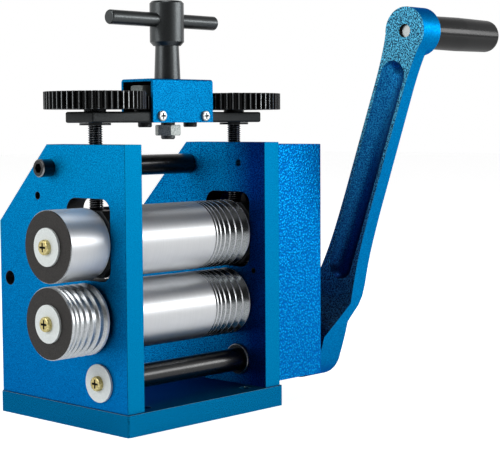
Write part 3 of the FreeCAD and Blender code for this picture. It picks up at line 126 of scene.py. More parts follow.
# A colour mix's sockets go by number: the share, its two colours, and the mixed colour.
MIX_SHARE, MIX_FIRST, MIX_SECOND, MIXED = 0, 6, 7, 2


def faded(tree, place, colour, along, low_mm, high_mm, tint):
    """A colour that a tint multiplies before one place on an axis, and not after another."""
    split = add_node(tree, "ShaderNodeSeparateXYZ", {"Vector": place.outputs["Object"]})
    share = add_node(tree, "ShaderNodeMapRange",
                     {"Value": split.outputs[along], "From Min": low_mm * MM,
                      "From Max": high_mm * MM})
    shade = add_node(tree, "ShaderNodeMix",
                     {MIX_SHARE: share.outputs["Result"], MIX_FIRST: linear(tint),
                      MIX_SECOND: linear("ffffff")}, data_type="RGBA")
    mixed = add_node(tree, "ShaderNodeMix",
                     {MIX_SHARE: 1.0, MIX_FIRST: colour, MIX_SECOND: shade.outputs[MIXED]},
                     data_type="RGBA", blend_type="MULTIPLY")
    return mixed.outputs[MIXED]


print("grains and fades are ready")

# %% The recipe
# A noise stays nearly always between these two levels.
NOISE_LOW, NOISE_HIGH = 0.3, 0.7


def surface(name, dark, light, metallic, roughness, grain_mm, depth_mm, stretch=(1, 1, 1),
            contrast=(0.35, 0.65), detail=2.0, cells=False, ground_round=None, fade=None,
            **shader_values):
    """A material whose one grain drives its colour, its gloss and its relief.

    The grain's size and depth are real millimetres; stretch draws it out along an axis.
    Roughness is a pair: in the hollows and on the tops of the grain.  Ground round an axis,
    a surface spreads what it mirrors along that axis.  A fade is an axis, two places on it
    in mm and the colour that multiplies the paint before the first of them.
    """
    material = bpy.data.materials.new(name)
    material.use_nodes = True
    tree = material.node_tree
    shader = tree.nodes["Principled BSDF"]
    shader.inputs["Metallic"].default_value = metallic
    for socket, value in shader_values.items():
        shader.inputs[socket.replace("_", " ")].default_value = value
    place = add_node(tree, "ShaderNodeTexCoord")
    level = grain_level(tree, place, grain_mm, stretch, detail, cells)
    colour = add_node(tree, "ShaderNodeValToRGB", {"Fac": level},
                      stops=zip(contrast, (dark, light))).outputs["Color"]
    if fade:
        colour = faded(tree, place, colour, *fade)
    gloss = add_node(tree, "ShaderNodeMapRange",
                     {"Value": level, "From Min": NOISE_LOW, "From Max": NOISE_HIGH,
                      "To Min": roughness[0], "To Max": roughness[1]})
    relief = add_node(tree, "ShaderNodeBump", {"Height": level, "Distance": depth_mm * MM})
    if ground_round:
        lay = add_node(tree, "ShaderNodeTangent", direction_type="RADIAL", axis=ground_round)
        tree.links.new(lay.outputs["Tangent"], shader.inputs["Tangent"])
        shader.inputs["Anisotropic"].default_value = 0.8
        shader.inputs["Anisotropic Rotation"].default_value = 0.25
    tree.links.new(colour, shader.inputs["Base Color"])
    tree.links.new(gloss.outputs["Result"], shader.inputs["Roughness"])
    tree.links.new(relief.outputs["Normal"], shader.inputs["Normal"])
    return material


print("the recipe is ready")

# %% [markdown]
# ## Blue hammertone enamel
# The plates, the covers and the crank are all blue hammertone, but each was sprayed apart:
# fine on the plates, coarse and glossy on the sheet cover, sandy on the cast arm.  A glossy
# plastic blue would look wrong: leafing aluminium flakes lie under the blue, so it is made
# as a blue metal.  Its tint holds at a glancing angle too, so the paint never greys there.

# %% Enamel on the plates
BLUE_TINT = linear("1890e0")
# The hollows of the cells are deep blue and the tops glint.  Towards the foot of the plate
# the colour is darkened: painted shade.
plate_paint = surface("Hammertone enamel on steel plate", "00487e", "04a2dc", 0.98, (0.54, 0.46),
                      0.55, 0.035, contrast=(0.28, 0.73), detail=3.0,
                      fade=("Z", 15, 140, "e4d4ec"), Specular_Tint=BLUE_TINT)
# The inner faces between the plates take a darker enamel, which turns violet and darker still
# along the front: painted shade.
inner_face_shade_paint = surface("Hammertone enamel with painted shade on an inner face", "003c74", "0088c4", 0.98,
                      (0.58, 0.44), 0.7, 0.06, contrast=(0.41, 0.60), fade=("Y", -44, -20, "8c84c8"),
                      Specular_Tint=BLUE_TINT)
# The same enamel on a milled edge lies smoother, so it looks more even.
edge_paint = surface("Hammertone enamel on a milled edge", "006494", "007aa6", 0.98, (0.60, 0.50),
                     0.6, 0.02, Specular_Tint=BLUE_TINT)
# A thin dark line on the corner bevels: a painted reflection of dark surroundings.
corner_shade_paint = surface("Painted dark line on a corner", "000c1c", "001830", 0.5, (0.60, 0.50),
                       0.6, 0.01, Specular_Tint=BLUE_TINT)
# Near black and dull: the walls of the milled window and the inside of the folded cover; in
# the holes and along the seam at a plate's foot it is painted shade.
near_black_and_shade_paint = surface("Near black paint, painted shade in holes and seams", "060708", "121416", 0.0, (0.6, 0.45),
                       0.8, 0.02)
print(len(bpy.data.materials), "materials so far")

# %% Enamel on the base and on folded sheet
# The base is a darker blue than the plates, and the darker tint of its reflection is painted
# shade.
base_paint = surface("Hammertone enamel on the base plate", "00446c", "0478a8", 0.98, (0.52, 0.42),
                     0.5, 0.03, Specular_Tint=linear("0c6890"))
# The base's upper edge takes a pale grey-blue: a painted highlight along it.
edge_highlight_paint = surface("Painted highlight on the base's upper edge", "64909c", "88a8a8", 0.2, (0.50, 0.40),
                       0.6, 0.01)
# A thicker, wetter coat on the sheet cover flows into large round cells.
cover_paint = surface("Hammertone enamel on folded sheet", "005ca0", "0c90cc", 0.95, (0.50, 0.34),
                      1.4, 0.16, contrast=(0.25, 1.0), cells=True, Specular_Tint=BLUE_TINT)
# The small channel over the tee handle's foot has a dry, even coat with fine cells.
bridge_paint = surface("Hammertone enamel on a folded channel", "004478", "0880b4", 0.96,
                       (0.56, 0.46), 0.6, 0.05, contrast=(0.36, 0.66), Specular_Tint=BLUE_TINT)
print(len(bpy.data.materials), "materials so far")

# %% Enamel on the cast arm
# Enamel follows the sand of the mould: rough, with pale glints.  Towards the hub the colour
# is darkened: painted shade.
cast_paint = surface("Enamel on sand-cast iron", "001c3c", "50b0d4", 0.82, (0.60, 0.38), 0.85, 0.30,
                     contrast=(0.40, 0.61), detail=5.0, fade=("Z", 20, 125, "1c387c"))
# The narrow sides were filed before painting, so they shine evenly.
arm_edge_paint = surface("Enamel on a fettled casting edge", "006ca4", "0084c0", 0.98, (0.52, 0.44),
                         0.8, 0.03, Specular_Tint=BLUE_TINT)
# In the recess the enamel is darker and glossy, and nearly black towards its lower end:
# painted shade.
recess_shade_paint = surface("Enamel with painted shade in the arm's recess", "003c80", "24a0dc", 0.95,
                       (0.46, 0.32), 0.7, 0.14, contrast=(0.38, 0.72), detail=3.0,
                       fade=("Z", 60, 215, "203468"))
print(len(bpy.data.materials), "materials so far")

# %% [markdown]
# ## Ground and polished steel
# A roll is ground between centres while it turns, and the wheel leaves fine marks round it.
# Drawn one by one, such marks would only flicker, so the shader's own lay is used: it
# spreads a reflection along the roll into one long band.

# %% Steel of the rolls
# The polished face is the brightest steel of the mill, with no colour of its own.
roll_steel = surface("Hardened steel, ground and polished", "d4d6d8", "d8dadc", 1.0, (0.50, 0.48),
                     0.5, 0.0, stretch=(1.0, 0.01, 0.01), ground_round="X")
# The half-round grooves are form ground, with a finer wheel, and mirror more sharply.
round_groove_steel = surface("Hardened steel, form ground", "a0a4a6", "c0c4c6", 1.0, (0.34, 0.28),
                             0.5, 0.0)
# The walls of the V grooves are ground alone; their steel is darker, with a sharper gleam.
groove_steel = surface("Hardened steel, ground groove wall", "74787a", "9ca0a2", 1.0, (0.24, 0.20),
                       0.5, 0.0)
# Scale from the heat treatment stays on the ends: brown-black and dull.
roll_end_steel = surface("Hardened steel, dark from heat treatment", "211f1e", "2c2927", 0.5,
                         (0.60, 0.45), 0.5, 0.01)
print(len(bpy.data.materials), "materials so far")

# %% [markdown]
# ## Blacked steel
# Hot blacking in salts leaves a thin oxide with oil in it.  Black paint would look flat: the
# oxide stays half metallic, so it is a dark metal, and what was drawn or turned under it
# decides how sharp the gleam is.

# %% Blacked steel
# Plain blacking over a turned or sheared face is a soft blue-black.
black_steel = surface("Steel, blacked and oiled", "141618", "26292b", 0.7, (0.42, 0.30), 0.6, 0.008)
# Round bar comes smooth from the die and wet with oil: deep black under one clear streak.
shaft_black = surface("Drawn bar, blacked and oiled", "040506", "0b0c0d", 0.5, (0.36, 0.26), 0.8,
                      0.010, stretch=(0.15, 1.0, 1.0), Coat_Weight=0.4, Coat_Roughness=0.16)
# Flat bar is blacked without a polish, so it is an even, dull grey-black.
bar_steel = surface("Bright drawn flat, blacked", "181b1c", "212526", 0.6, (0.55, 0.48), 0.8, 0.01)
# Rolling a thread burnishes its flanks, so small lights run round it.
thread_steel = surface("Rolled thread, blacked and oiled", "141618", "30343a", 0.9, (0.30, 0.22),
                       0.6, 0.008)
# Phosphate over a fine turned skin is a soft grey, lighter than blacking.
tee_steel = surface("Turned steel, grey phosphate", "404344", "4a4d4e", 0.9, (0.36, 0.30), 0.5,
                    0.001)
# The hob leaves the flanks of the teeth rough, so they are the blackest steel of all.
gear_steel = surface("Gear steel, hobbed and blacked", "050606", "0e0f10", 0.5, (0.50, 0.38), 0.5,
                     0.01)
# The lands and chamfers at the tips take a light steel: a painted highlight, the thin lines
# of light along the teeth.
tip_highlight_steel = surface("Gear tips, painted highlight", "787c7e", "989c9e", 0.95, (0.34, 0.26), 0.5,
                    0.004)
# A light steel on the rims of the cap screws and the bush, and on the thread crests: a
# painted highlight.
rim_and_crest_highlight = surface("Painted highlight on rims and thread crests", "6c6e70", "a0a2a4", 0.95, (0.40, 0.30), 0.6,
                     0.01)
print(len(bpy.data.materials), "materials so far")

# %% [markdown]
# ## Plating and small parts
# Washers, nuts and screws are bought in, each with its own plating: bright or yellow zinc,
# and the nuts inside the cover darkened as painted shade.  One grey for all would tell less,
# so each has its own tone and gloss.

# %% Zinc
# Bright zinc is a pale blue-grey with a half sharp gleam.
zinc = surface("Steel, bright zinc plated", "a4aaaa", "c8cccc", 0.9, (0.42, 0.30), 0.6, 0.008)
# A cold-formed nut is duller than a screw, with grey facets.
nut_zinc = surface("Cold-formed nut, zinc plated", "7c8280", "a8aeac", 0.75, (0.55, 0.45), 0.6, 0.01)
# The idler nuts inside the cover take a darker zinc: painted shade.
darkened_idler_zinc = surface("Nut, zinc plated, darkened as painted shade", "4c5250", "686e6c", 0.7, (0.55, 0.45), 0.6,
                    0.01)
# Tumbled before plating, a pressed washer scatters light and looks nearly white.
washer_zinc = surface("Pressed washer, zinc plated", "dee5e4", "e8eeed", 0.20, (0.50, 0.45), 0.6,
                      0.003)
# Chromate over zinc is straw yellow, with paler patches.
yellow_zinc = surface("Steel, yellow passivated zinc", "a8985c", "d8cc94", 0.85, (0.40, 0.28), 0.9,
                      0.008)
print(len(bpy.data.materials), "materials so far")

# %% Springs, bushes, grip and dark recesses
# Drawn wire is bright and smooth along its length.
spring_wire = surface("Drawn spring wire", "7c7f82", "94979a", 1.0, (0.35, 0.28), 0.4, 0.004)
# A turning tool leaves rings too fine to see, which soften the gleam under the oil.
machined_steel = surface("Steel, turned and oiled", "2c2e30", "44474a", 0.8, (0.45, 0.34), 0.3,
                         0.006, stretch=(1.0, 0.05, 0.05))
# Pressed from powder, the bushes are a brown metal with a dull, even skin.
bronze = surface("Sintered bronze, oiled", "8c6438", "a87c48", 0.9, (0.48, 0.38), 0.5, 0.01)
# Moulded nylon is black all through, under a skin that the hand has polished.
grip_plastic = surface("Moulded black nylon", "121314", "1a1b1c", 0.0, (0.50, 0.45), 0.5, 0.003,
                       Specular_IOR_Level=0.0, Coat_Weight=0.45, Coat_Roughness=0.20)
# The cross recesses and the arm's pin hole are near black and dull.
recess_dark = surface("Near black in screw recesses and the pin hole", "0a0a0a", "1a1a1a", 0.2, (0.7, 0.55), 0.4, 0.01)
print(len(bpy.data.materials), "materials so far")

# %% [markdown]
# ## A finish for every solid
# The record names a broad material for each solid, which would do for most of them.  Where
# two pieces of one material were finished in different ways, the piece's own finish wins.

# %% Finish of each solid
FINISH_OF_SLOT = {
    "hammered_blue_paint": plate_paint,
    "ground_steel": roll_steel,
    "black_oxide_steel": black_steel,
    "bright_zinc": zinc,
    "yellow_zinc": yellow_zinc,
    "spring_steel": spring_wire,
    "grey_steel": machined_steel,
    "bearing_bronze": bronze,
    "black_grip": grip_plastic,
}
FINISH_OF_NODE = {
    "base_plate": base_paint,
    "gear_cover": cover_paint,
    "bridge_cover": bridge_paint,
    "crank_arm": cast_paint,
    "tee_spindle": tee_steel,
    "tee_bar": tee_steel,
    "tee_nut": nut_zinc,
    # The idler nuts take the zinc darkened as painted shade.
    "idler_nuts": darkened_idler_zinc,
    "bridge_bar": bar_steel,
}
FINISH_OF_NODE.update(dict.fromkeys(
    ("upper_thrust_washer", "upper_end_washer", "lower_end_washer", "shaft_end_washer",
     "crank_washer", "grip_spindle"), washer_zinc))
FINISH_OF_NODE.update(dict.fromkeys(("drive_shaft", "tie_rod", "tie_rod_screws"), shaft_black))
FINISH_OF_NODE.update(dict.fromkeys(
    ("drive_left_bush", "drive_right_bush", "idler_axles", "left_screw_collar",
     "left_screw_clip", "right_screw_collar", "right_screw_clip"), black_steel))
for entry in frame["record"]["subparts"]:
    node_name = entry["node"]
    finish = FINISH_OF_NODE.get(node_name, FINISH_OF_SLOT[entry["material_slot"]])
    if "pinion" in node_name or ("gear" in node_name and "cover" not in node_name):
        finish = gear_steel
    solid_mesh = frame["nodes"][node_name].data
    solid_mesh.materials.clear()
    solid_mesh.materials.append(finish)

# %% [markdown]
# ## Pieces that stand in for solids
# A piece is a mesh with its place in its vertices.  It rides on the body that it belongs
# to, and may stand in for a plain solid.  Where its corners are rounded, the shading of a
# wide flat would bulge towards them, so each corner's normal follows the larger faces.

# %% Making a piece


def weigh_normals(mesh, limit):
    """Let each corner follow the larger faces round it, so that flats between bevels stay flat."""
    facing = [face.normal.copy() for face in mesh.polygons]
    areas = [face.area for face in mesh.polygons]
    corners = [tuple(face.vertices) for face in mesh.polygons]
    around = [[] for _ in mesh.vertices]
    for number, corner_verts in enumerate(corners):
        for vert in corner_verts:
            around[vert].append(number)
    closest = math.cos(limit)
    normals = []
    for number, corner_verts in enumerate(corners):
        for vert in corner_verts:
            total = facing[number] * areas[number]
            for other in around[vert]:
                if other != number and facing[other].dot(facing[number]) > closest:
                    total = total + facing[other] * areas[other]
            normals.append(total.normalized() if total.length > 0 else facing[number])
    mesh.normals_split_custom_set(normals)


def body_of(node_name):
    """The body that a node belongs to."""
    for body, nodes in frame["record"]["behaviour"]["bodies"].items():
        if node_name in nodes:
            return body
    raise KeyError(node_name)


def finish_piece(mesh_data, name, node_name, materials, smooth_angle=35):
    """Turn a bmesh into a named piece that stands in for a node and rides on that node's body."""
    bmesh.ops.recalc_face_normals(mesh_data, faces=mesh_data.faces)
    for face in mesh_data.faces:
        face.smooth = True
    limit = math.radians(smooth_angle)
    for edge in mesh_data.edges:
        edge.smooth = len(edge.link_faces) == 2 and edge.calc_face_angle() < limit
    mesh = bpy.data.meshes.new(name)
    mesh_data.to_mesh(mesh)
    mesh_data.free()
    weigh_normals(mesh, limit)
    piece = bpy.data.objects.new(name, mesh)
    bpy.context.scene.collection.objects.link(piece)
    for material in materials:
        mesh.materials.append(material)
    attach(piece, body_of(node_name))
    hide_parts(node_name)
    return piece


print("the gear cover rides on the", body_of("gear_cover"))

# %% [markdown]
# ## Softened edges
# No real edge is a knife edge: plates are deburred, sheet is bent round a radius, and a
# casting carries the radius of its mould.  A shader could fake that, but not the outline, so
# each edge gets a true, thin bevel that catches the light along it.

# %% Copying and softening a solid
SAME_POINT = 0.002 * MM
SAME_PLANE = math.radians(0.6)


def copy_of(node_name):
    """A merged, editable copy of a solid node's mesh."""
    mesh_data = bmesh.new()
    mesh_data.from_mesh(frame["nodes"][node_name].data)
    bmesh.ops.remove_doubles(mesh_data, verts=mesh_data.verts, dist=SAME_POINT)
    bmesh.ops.dissolve_limit(mesh_data, angle_limit=SAME_PLANE, verts=mesh_data.verts,
                             edges=mesh_data.edges, delimit={"NORMAL"})
    return mesh_data


def soften(mesh_data, width, segments, sharper_than=40, keep=None):
    """Bevel the edges that a hand would feel as sharp."""
    limit = math.radians(sharper_than)
    edges = [edge for edge in mesh_data.edges
             if len(edge.link_faces) == 2 and edge.calc_face_angle() > limit
             and (keep is None or keep(edge))]
    bmesh.ops.bevel(mesh_data, geom=edges, offset=width, offset_type="OFFSET", affect="EDGES",
                    segments=segments, profile=0.5, material=-1, clamp_overlap=True)


# Each piece's bevel in mm, and in how many steps it turns.
SOFT_EDGES = {
    "base_plate": (0.3, 1),
    "left_side_plate": (0.5, 2),
    "right_side_plate": (0.5, 2),
    "gear_cover": (0.25, 2),
    "bridge_cover": (0.25, 2),
    "left_upper_block": (0.4, 2),
    "right_upper_block": (0.4, 2),
    "tee_spindle": (0.25, 2),
    "tee_bar": (0.3, 2),
    "drive_right_bush": (0.2, 1),
    "idler_nuts": (0.15, 1),
    "tee_nut": (0.15, 1),
    "tie_rod_screws": (0.25, 1),
    "crank_screw": (0.25, 1),
}
# Some of these pieces take more finishes, face by face, in the cells below.
MORE_FINISHES = {
    "base_plate": (edge_highlight_paint,),
    "left_side_plate": (edge_paint, near_black_and_shade_paint, corner_shade_paint, inner_face_shade_paint),
    "right_side_plate": (edge_paint, near_black_and_shade_paint, corner_shade_paint, inner_face_shade_paint),
    "bridge_cover": (near_black_and_shade_paint,),
    "drive_right_bush": (rim_and_crest_highlight,),
    "tie_rod_screws": (rim_and_crest_highlight,),
}
soft_pieces = {}
for node_name, (width_mm, segments) in SOFT_EDGES.items():
    finish = frame["nodes"][node_name].data.materials[0]
    copied = copy_of(node_name)
    soften(copied, width_mm * MM, segments)
    soft_pieces[node_name] = finish_piece(copied, node_name + "_soft", node_name,
                                          (finish, *MORE_FINISHES.get(node_name, ())))
print(len(soft_pieces), "softened pieces")

# %% [markdown]
# The bar under the screw gears is drawn with large round corners, and its holes were
# drilled later.  A bevel on every edge would round the holes too, so only the edges on the
# outline of the bar are picked.

# %% Bridge bar
low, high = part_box("bridge_bar")


def on_outline(edge):
    """Whether an edge lies on two sides of the bar's box."""
    sides = 0
    for axis_index in range(3):
        for side_place in (low[axis_index], high[axis_index]):
            sides += all(abs(vert.co[axis_index] - side_place) < 0.01 * MM for vert in edge.verts)
    return sides == 2


bar = copy_of("bridge_bar")
soften(bar, 1.1 * MM, 3, keep=on_outline)
finish_piece(bar, "bridge_bar_soft", "bridge_bar", (bar_steel,))
print("the bar has round corners")

# %% [markdown]
# ## Paint that changes from face to face
# The plates' narrow edges were milled before painting, so their paint lies smoother.  The
# window that the bearing block slides in is near black, the holes and the seam at the foot
# are near black as painted shade, the inner faces are darkened as painted shade, and the
# corners carry a thin dark line of painted reflection.  A mask could be painted, but a face's
# own place and direction tell it all.

# %% Faces of the plates
# Each hole's place along and up the plate, and a reach just past its rim.
PLATE_HOLES_MM = ((46.5, 78.4, 4.8), (19.7, 126.4, 2.9), (-44.6, 80.0, 2.4))
WINDOW_Y_MM = (-42.5, -5.0)
WINDOW_Z_MM = (81.5, 126.5)
# How much of a face's direction lies along x, at least, for a broad face and for a bevel.
BROAD_FACE, BEVEL_FACE = 0.97, 0.25
# A bevel's faces lie nearer than this to the side that it softens.
BEVEL_ZONE = 0.6 * MM
ON_FACE, ON_EDGE, ON_NEAR_BLACK, ON_CORNER, ON_INNER_FACE = range(5)


def plate_finish(face, inward, foot):
    """Which of a plate's five paints a face has; inward is the x direction to the rolls."""
    centre = face.center
    # A broad face towards the rolls takes the enamel with painted shade.
    if abs(face.normal.x) > BROAD_FACE:
        return ON_INNER_FACE if face.normal.x * inward > 0 else ON_FACE
    y_mm = centre.y / MM
    z_mm = centre.z / MM
    in_window = WINDOW_Y_MM[0] < y_mm < WINDOW_Y_MM[1] and WINDOW_Z_MM[0] < z_mm < WINDOW_Z_MM[1]
    in_hole = any(math.hypot(y_mm - hole_y, z_mm - hole_z) < reach
                  for hole_y, hole_z, reach in PLATE_HOLES_MM)
    at_foot = face.normal.z < -0.2 and centre.z < foot + BEVEL_ZONE
    # The window is near black; the holes and the seam at the foot take it as painted shade.
    if in_window or in_hole or at_foot:
        return ON_NEAR_BLACK
    # A bevel takes the painted dark line.
    return ON_CORNER if abs(face.normal.x) > BEVEL_FACE else ON_EDGE


for node_name, inward in (("left_side_plate", 1), ("right_side_plate", -1)):
    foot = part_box(node_name)[0].z
    for face in soft_pieces[node_name].data.polygons:
        face.material_index = plate_finish(face, inward, foot)
print("edges, windows and holes painted")

# %% [markdown]
# Two more pieces change from face to face.  The base's upper edge takes a painted highlight,
# and the folded cover is near black inside.

# %% Painted highlight on the base's edge, and the bridge cover's dark inside
base_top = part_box("base_plate")[1].z
# The slanting faces of the base's top edge take the painted highlight.
for face in soft_pieces["base_plate"].data.polygons:
    slants_up = 0.15 < face.normal.z < 0.95
    if slants_up and face.center.z > base_top - BEVEL_ZONE:
        face.material_index = 1

# Inner faces lie deeper than this, a little less than the sheet's thickness.
SHEET = 1.3 * MM
low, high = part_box("bridge_cover")
for face in soft_pieces["bridge_cover"].data.polygons:
    inside_y = low.y + SHEET < face.center.y < high.y - SHEET
    if inside_y and face.center.z < high.z - SHEET and abs(face.normal.x) < 0.5:
        face.material_index = 1
print("base edge highlight painted, cover dark inside")

# %% [markdown]
# A light line of painted highlight runs on the rims of the cap screws, and round the flange
# of the shaft's bush.

# %% Painted highlights on rims
# Each rim: its piece, the radius in mm from which it takes the highlight, and the side it
# faces along x.
HIGHLIGHT_RIMS = (("tie_rod_screws", 4.2, -1), ("tie_rod_screws", 4.2, 1), ("drive_right_bush", 8.6, -1))
RIM_DEPTH = 1.0 * MM
for node_name, inner_mm, towards in HIGHLIGHT_RIMS:
    low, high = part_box(node_name)
    axis = (low + high) / 2
    outer_x = low.x if towards < 0 else high.x
    rim = [face for face in soft_pieces[node_name].data.polygons
           if (face.center - axis).yz.length > inner_mm * MM and face.normal.x * towards > 0.2
           and abs(face.center.x - outer_x) < RIM_DEPTH]
    for face in rim:
        face.material_index = 1
    print(node_name, len(rim), "rim faces with a painted highlight")

# %% [markdown]
# ## Gear teeth
# The screw gears' blanks were turned to size before the teeth were cut, so the tips of the
# teeth are smooth lands, and the ends are chamfered; a light steel on them is a painted
# highlight of the thin lines of light that they catch.
# Bevelling the whole tooth would blunt the flanks, so only edges near the tips are picked.

# %% Gear teeth
GEARS = ("left_screw_gear", "right_screw_gear", "left_idler_gear", "right_idler_gear", "tee_pinion")
TIP_CHAMFER = 0.2 * MM
# How near the tips an edge is bevelled, and a face may take the painted highlight.
EDGE_ZONE = 0.3 * MM
HIGHLIGHT_ZONE = 0.5 * MM
# How much a face with the painted highlight looks outwards: a land of a tooth, and the
# chamfer at its end.
LAND_OUTWARD, CHAMFER_OUTWARD = 0.96, 0.6
for node_name in GEARS:
    low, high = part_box(node_name)
    axis = (low + high) / 2
    tip_radius = (high.y - low.y) / 2
    gear = copy_of(node_name)
    crests = [edge for edge in gear.edges
              if len(edge.link_faces) == 2 and edge.calc_face_angle() > 0.6
              and min((vert.co - axis).xy.length for vert in edge.verts) > tip_radius - EDGE_ZONE]
    bmesh.ops.bevel(gear, geom=crests, offset=TIP_CHAMFER, offset_type="OFFSET", affect="EDGES",
                    segments=1, profile=0.5, material=-1, clamp_overlap=True)
    piece = finish_piece(gear, node_name + "_teeth", node_name, (gear_steel, tip_highlight_steel), 25)
    lands = 0
    for face in piece.data.polygons:
        outward = (face.center - axis) * Vector((1, 1, 0))
        reach = outward.length
        facing = face.normal.dot(outward / reach)
        needed = LAND_OUTWARD if abs(face.normal.z) < 0.2 else CHAMFER_OUTWARD
        if reach > tip_radius - HIGHLIGHT_ZONE and facing > needed:
            face.material_index = 1
            lands += 1
    print(node_name, lands, "tip faces with a painted highlight")

# %% [markdown]
# ## The crank arm
# A sand casting: the pattern has generous radii so that it lifts out of the sand.  A wide
# bevel in three steps gives that radius, and the sides that were filed differ from the rest.

# %% Crank arm
# The arm's foot and its lean; measured along the lean, the recess has straight limits.
ARM_FOOT = Vector((0, -0.0317, 0.02667))
ARM_LEAN = math.radians(19.3)
RECESS_X_MM = (120.3, 126.2)
RECESS_HALF_WIDTH = 9.2 * MM
RECESS_UP_MM = (45, 187)
PIN_HOLE_REACH = 4.3 * MM
ON_ARM_EDGE, IN_RECESS, IN_PIN_HOLE = 1, 2, 3

arm = copy_of("crank_arm")
soften(arm, 1.3 * MM, 3, sharper_than=50)
arm_piece = finish_piece(arm, "crank_arm_soft", "crank_arm",
                         (cast_paint, arm_edge_paint, recess_shade_paint, recess_dark), 50)
unlean = Matrix.Rotation(-ARM_LEAN, 3, "X")
pin_low, pin_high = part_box("grip_spindle")
pin = (pin_low + pin_high) / 2
# Faces in the recess take the enamel with painted shade; the pin hole is near black.
for face in arm_piece.data.polygons:
    place = unlean @ (face.center - ARM_FOOT)
    facing = unlean @ face.normal
    in_recess = (RECESS_X_MM[0] * MM < place.x < RECESS_X_MM[1] * MM
                 and abs(place.y) < RECESS_HALF_WIDTH
                 and RECESS_UP_MM[0] * MM < place.z < RECESS_UP_MM[1] * MM)
    if (face.center - pin).yz.length < PIN_HOLE_REACH and abs(facing.x) < 0.5:
        face.material_index = IN_PIN_HOLE
    elif in_recess:
        face.material_index = IN_RECESS
    elif abs(facing.x) < 0.55:
        face.material_index = ON_ARM_EDGE
print("arm cast")

# %% [markdown]
# ## Screw threads
# A thread is a ridge that climbs by one pitch per turn.  A ridge could be swept along a
# helix, but it would then have to be joined to the rod.  So a line is spun into a tube, and
# its points move in and out on a wave of the height less the angle: one closed skin.

# %% Threads
THREAD_RADIUS = 4.0 * MM
THREAD_PITCH = 1.25 * MM
THREAD_DEPTH = 0.77 * MM
THREAD_TOP = 165.2 * MM
PLAIN_TIP = 1 * MM
ROUND_STEPS = 28
STEPS_PER_PITCH = 8
CREST_SHARE = 0.16


def turn_about(centre, point):
    """How far round a vertical axis a point lies, as a share of a turn."""
    return math.atan2(point.y - centre.y, point.x - centre.x) / (2 * math.pi)


def ridge_phase(centre, point):
    """A point's phase in the ridge's wave: 0 in the root, one half on the crest."""
    return (point.z / THREAD_PITCH - turn_about(centre, point)) % 1.0


def threaded_rod(centre, low, high, thread_low, thread_high):
    """A rod along z, threaded between two heights; its crests get the second material, a painted
    highlight.
    """
    count = round((thread_high - thread_low) / THREAD_PITCH * STEPS_PER_PITCH)
    rise = (thread_high - thread_low) / count
    levels = [low, low + 0.6 * THREAD_DEPTH, high - 0.6 * THREAD_DEPTH, high]
    levels = sorted(levels + [thread_low + rise * step for step in range(count + 1)])
    rod = bmesh.new()
    line = [rod.verts.new((centre.x + THREAD_RADIUS, centre.y, level)) for level in levels]
    edges = [rod.edges.new(pair) for pair in zip(line, line[1:])]
    bmesh.ops.spin(rod, geom=line + edges, cent=centre, axis=(0, 0, 1), dvec=(0, 0, 0),
                   angle=2 * math.pi, steps=ROUND_STEPS, use_merge=True, use_duplicate=False)
    for face in rod.faces:
        middle = face.calc_center_median()
        on_crest = abs(ridge_phase(centre, middle) - 0.5) < CREST_SHARE
        face.material_index = int(thread_low < middle.z < thread_high and on_crest)
    # Spun points lie only near their levels, so levels are told apart with this gap.
    end_gap = rise / 4
    for vert in rod.verts:
        radius = THREAD_RADIUS
        if thread_low - end_gap < vert.co.z < thread_high + end_gap:
            radius -= THREAD_DEPTH * abs(2 * ridge_phase(centre, vert.co) - 1)
        if vert.co.z < low + end_gap or vert.co.z > high - end_gap:
            radius = min(radius, THREAD_RADIUS - THREAD_DEPTH)
        turn = 2 * math.pi * turn_about(centre, vert.co)
        vert.co.xy = centre.xy + radius * Vector((math.cos(turn), math.sin(turn)))
    bmesh.ops.holes_fill(rod, edges=rod.edges, sides=0)
    return rod


for node_name in ("left_adjusting_screw", "right_adjusting_screw"):
    low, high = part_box(node_name)
    rod = threaded_rod((low + high) / 2, low.z, high.z, low.z + PLAIN_TIP, THREAD_TOP)
    finish_piece(rod, node_name + "_thread", node_name, (thread_steel, rim_and_crest_highlight), 25)
    print(node_name, "threaded over", round((THREAD_TOP - PLAIN_TIP - low.z) / MM), "mm")

# %% [markdown]
# ## Cross recesses
# The pan-head screws have a cross recess: four wings with sloping walls.  A boolean cut
# would leave ragged faces, so the top is filled between the rim and a cross-shaped mouth,
# and the mouth is bridged to a smaller cross at the bottom.

# %% A pan head
HEAD_STEPS = 40
# The head's outline: share of its radius and share of its height.
PAN_OUTLINE = ((1.0, 0.0), (1.0, 0.55), (0.97, 0.80), (0.90, 0.94), (0.78, 1.0))
# The recess: reach of its wings, half their width and the height, as shares of the head.
RECESS_MOUTH = (0.60, 0.14, 1.0)
RECESS_FLOOR = (0.34, 0.09, 0.25)


def cross_loop(mesh_data, radius, height, reach, half_width, rise):
    """The edges of a cross with its twelve corners, flat at one height."""
    quarter = [(half_width, half_width), (reach, half_width), (reach, -half_width)]
    corners = []
    for turn in range(4):
        turned = Matrix.Rotation(-math.pi / 2 * turn, 2)
        corners += [radius * (turned @ Vector(corner)) for corner in quarter]
    verts = [mesh_data.verts.new((*corner, height * rise)) for corner in corners]
    return [mesh_data.edges.new(pair) for pair in zip(verts, verts[1:] + verts[:1])]


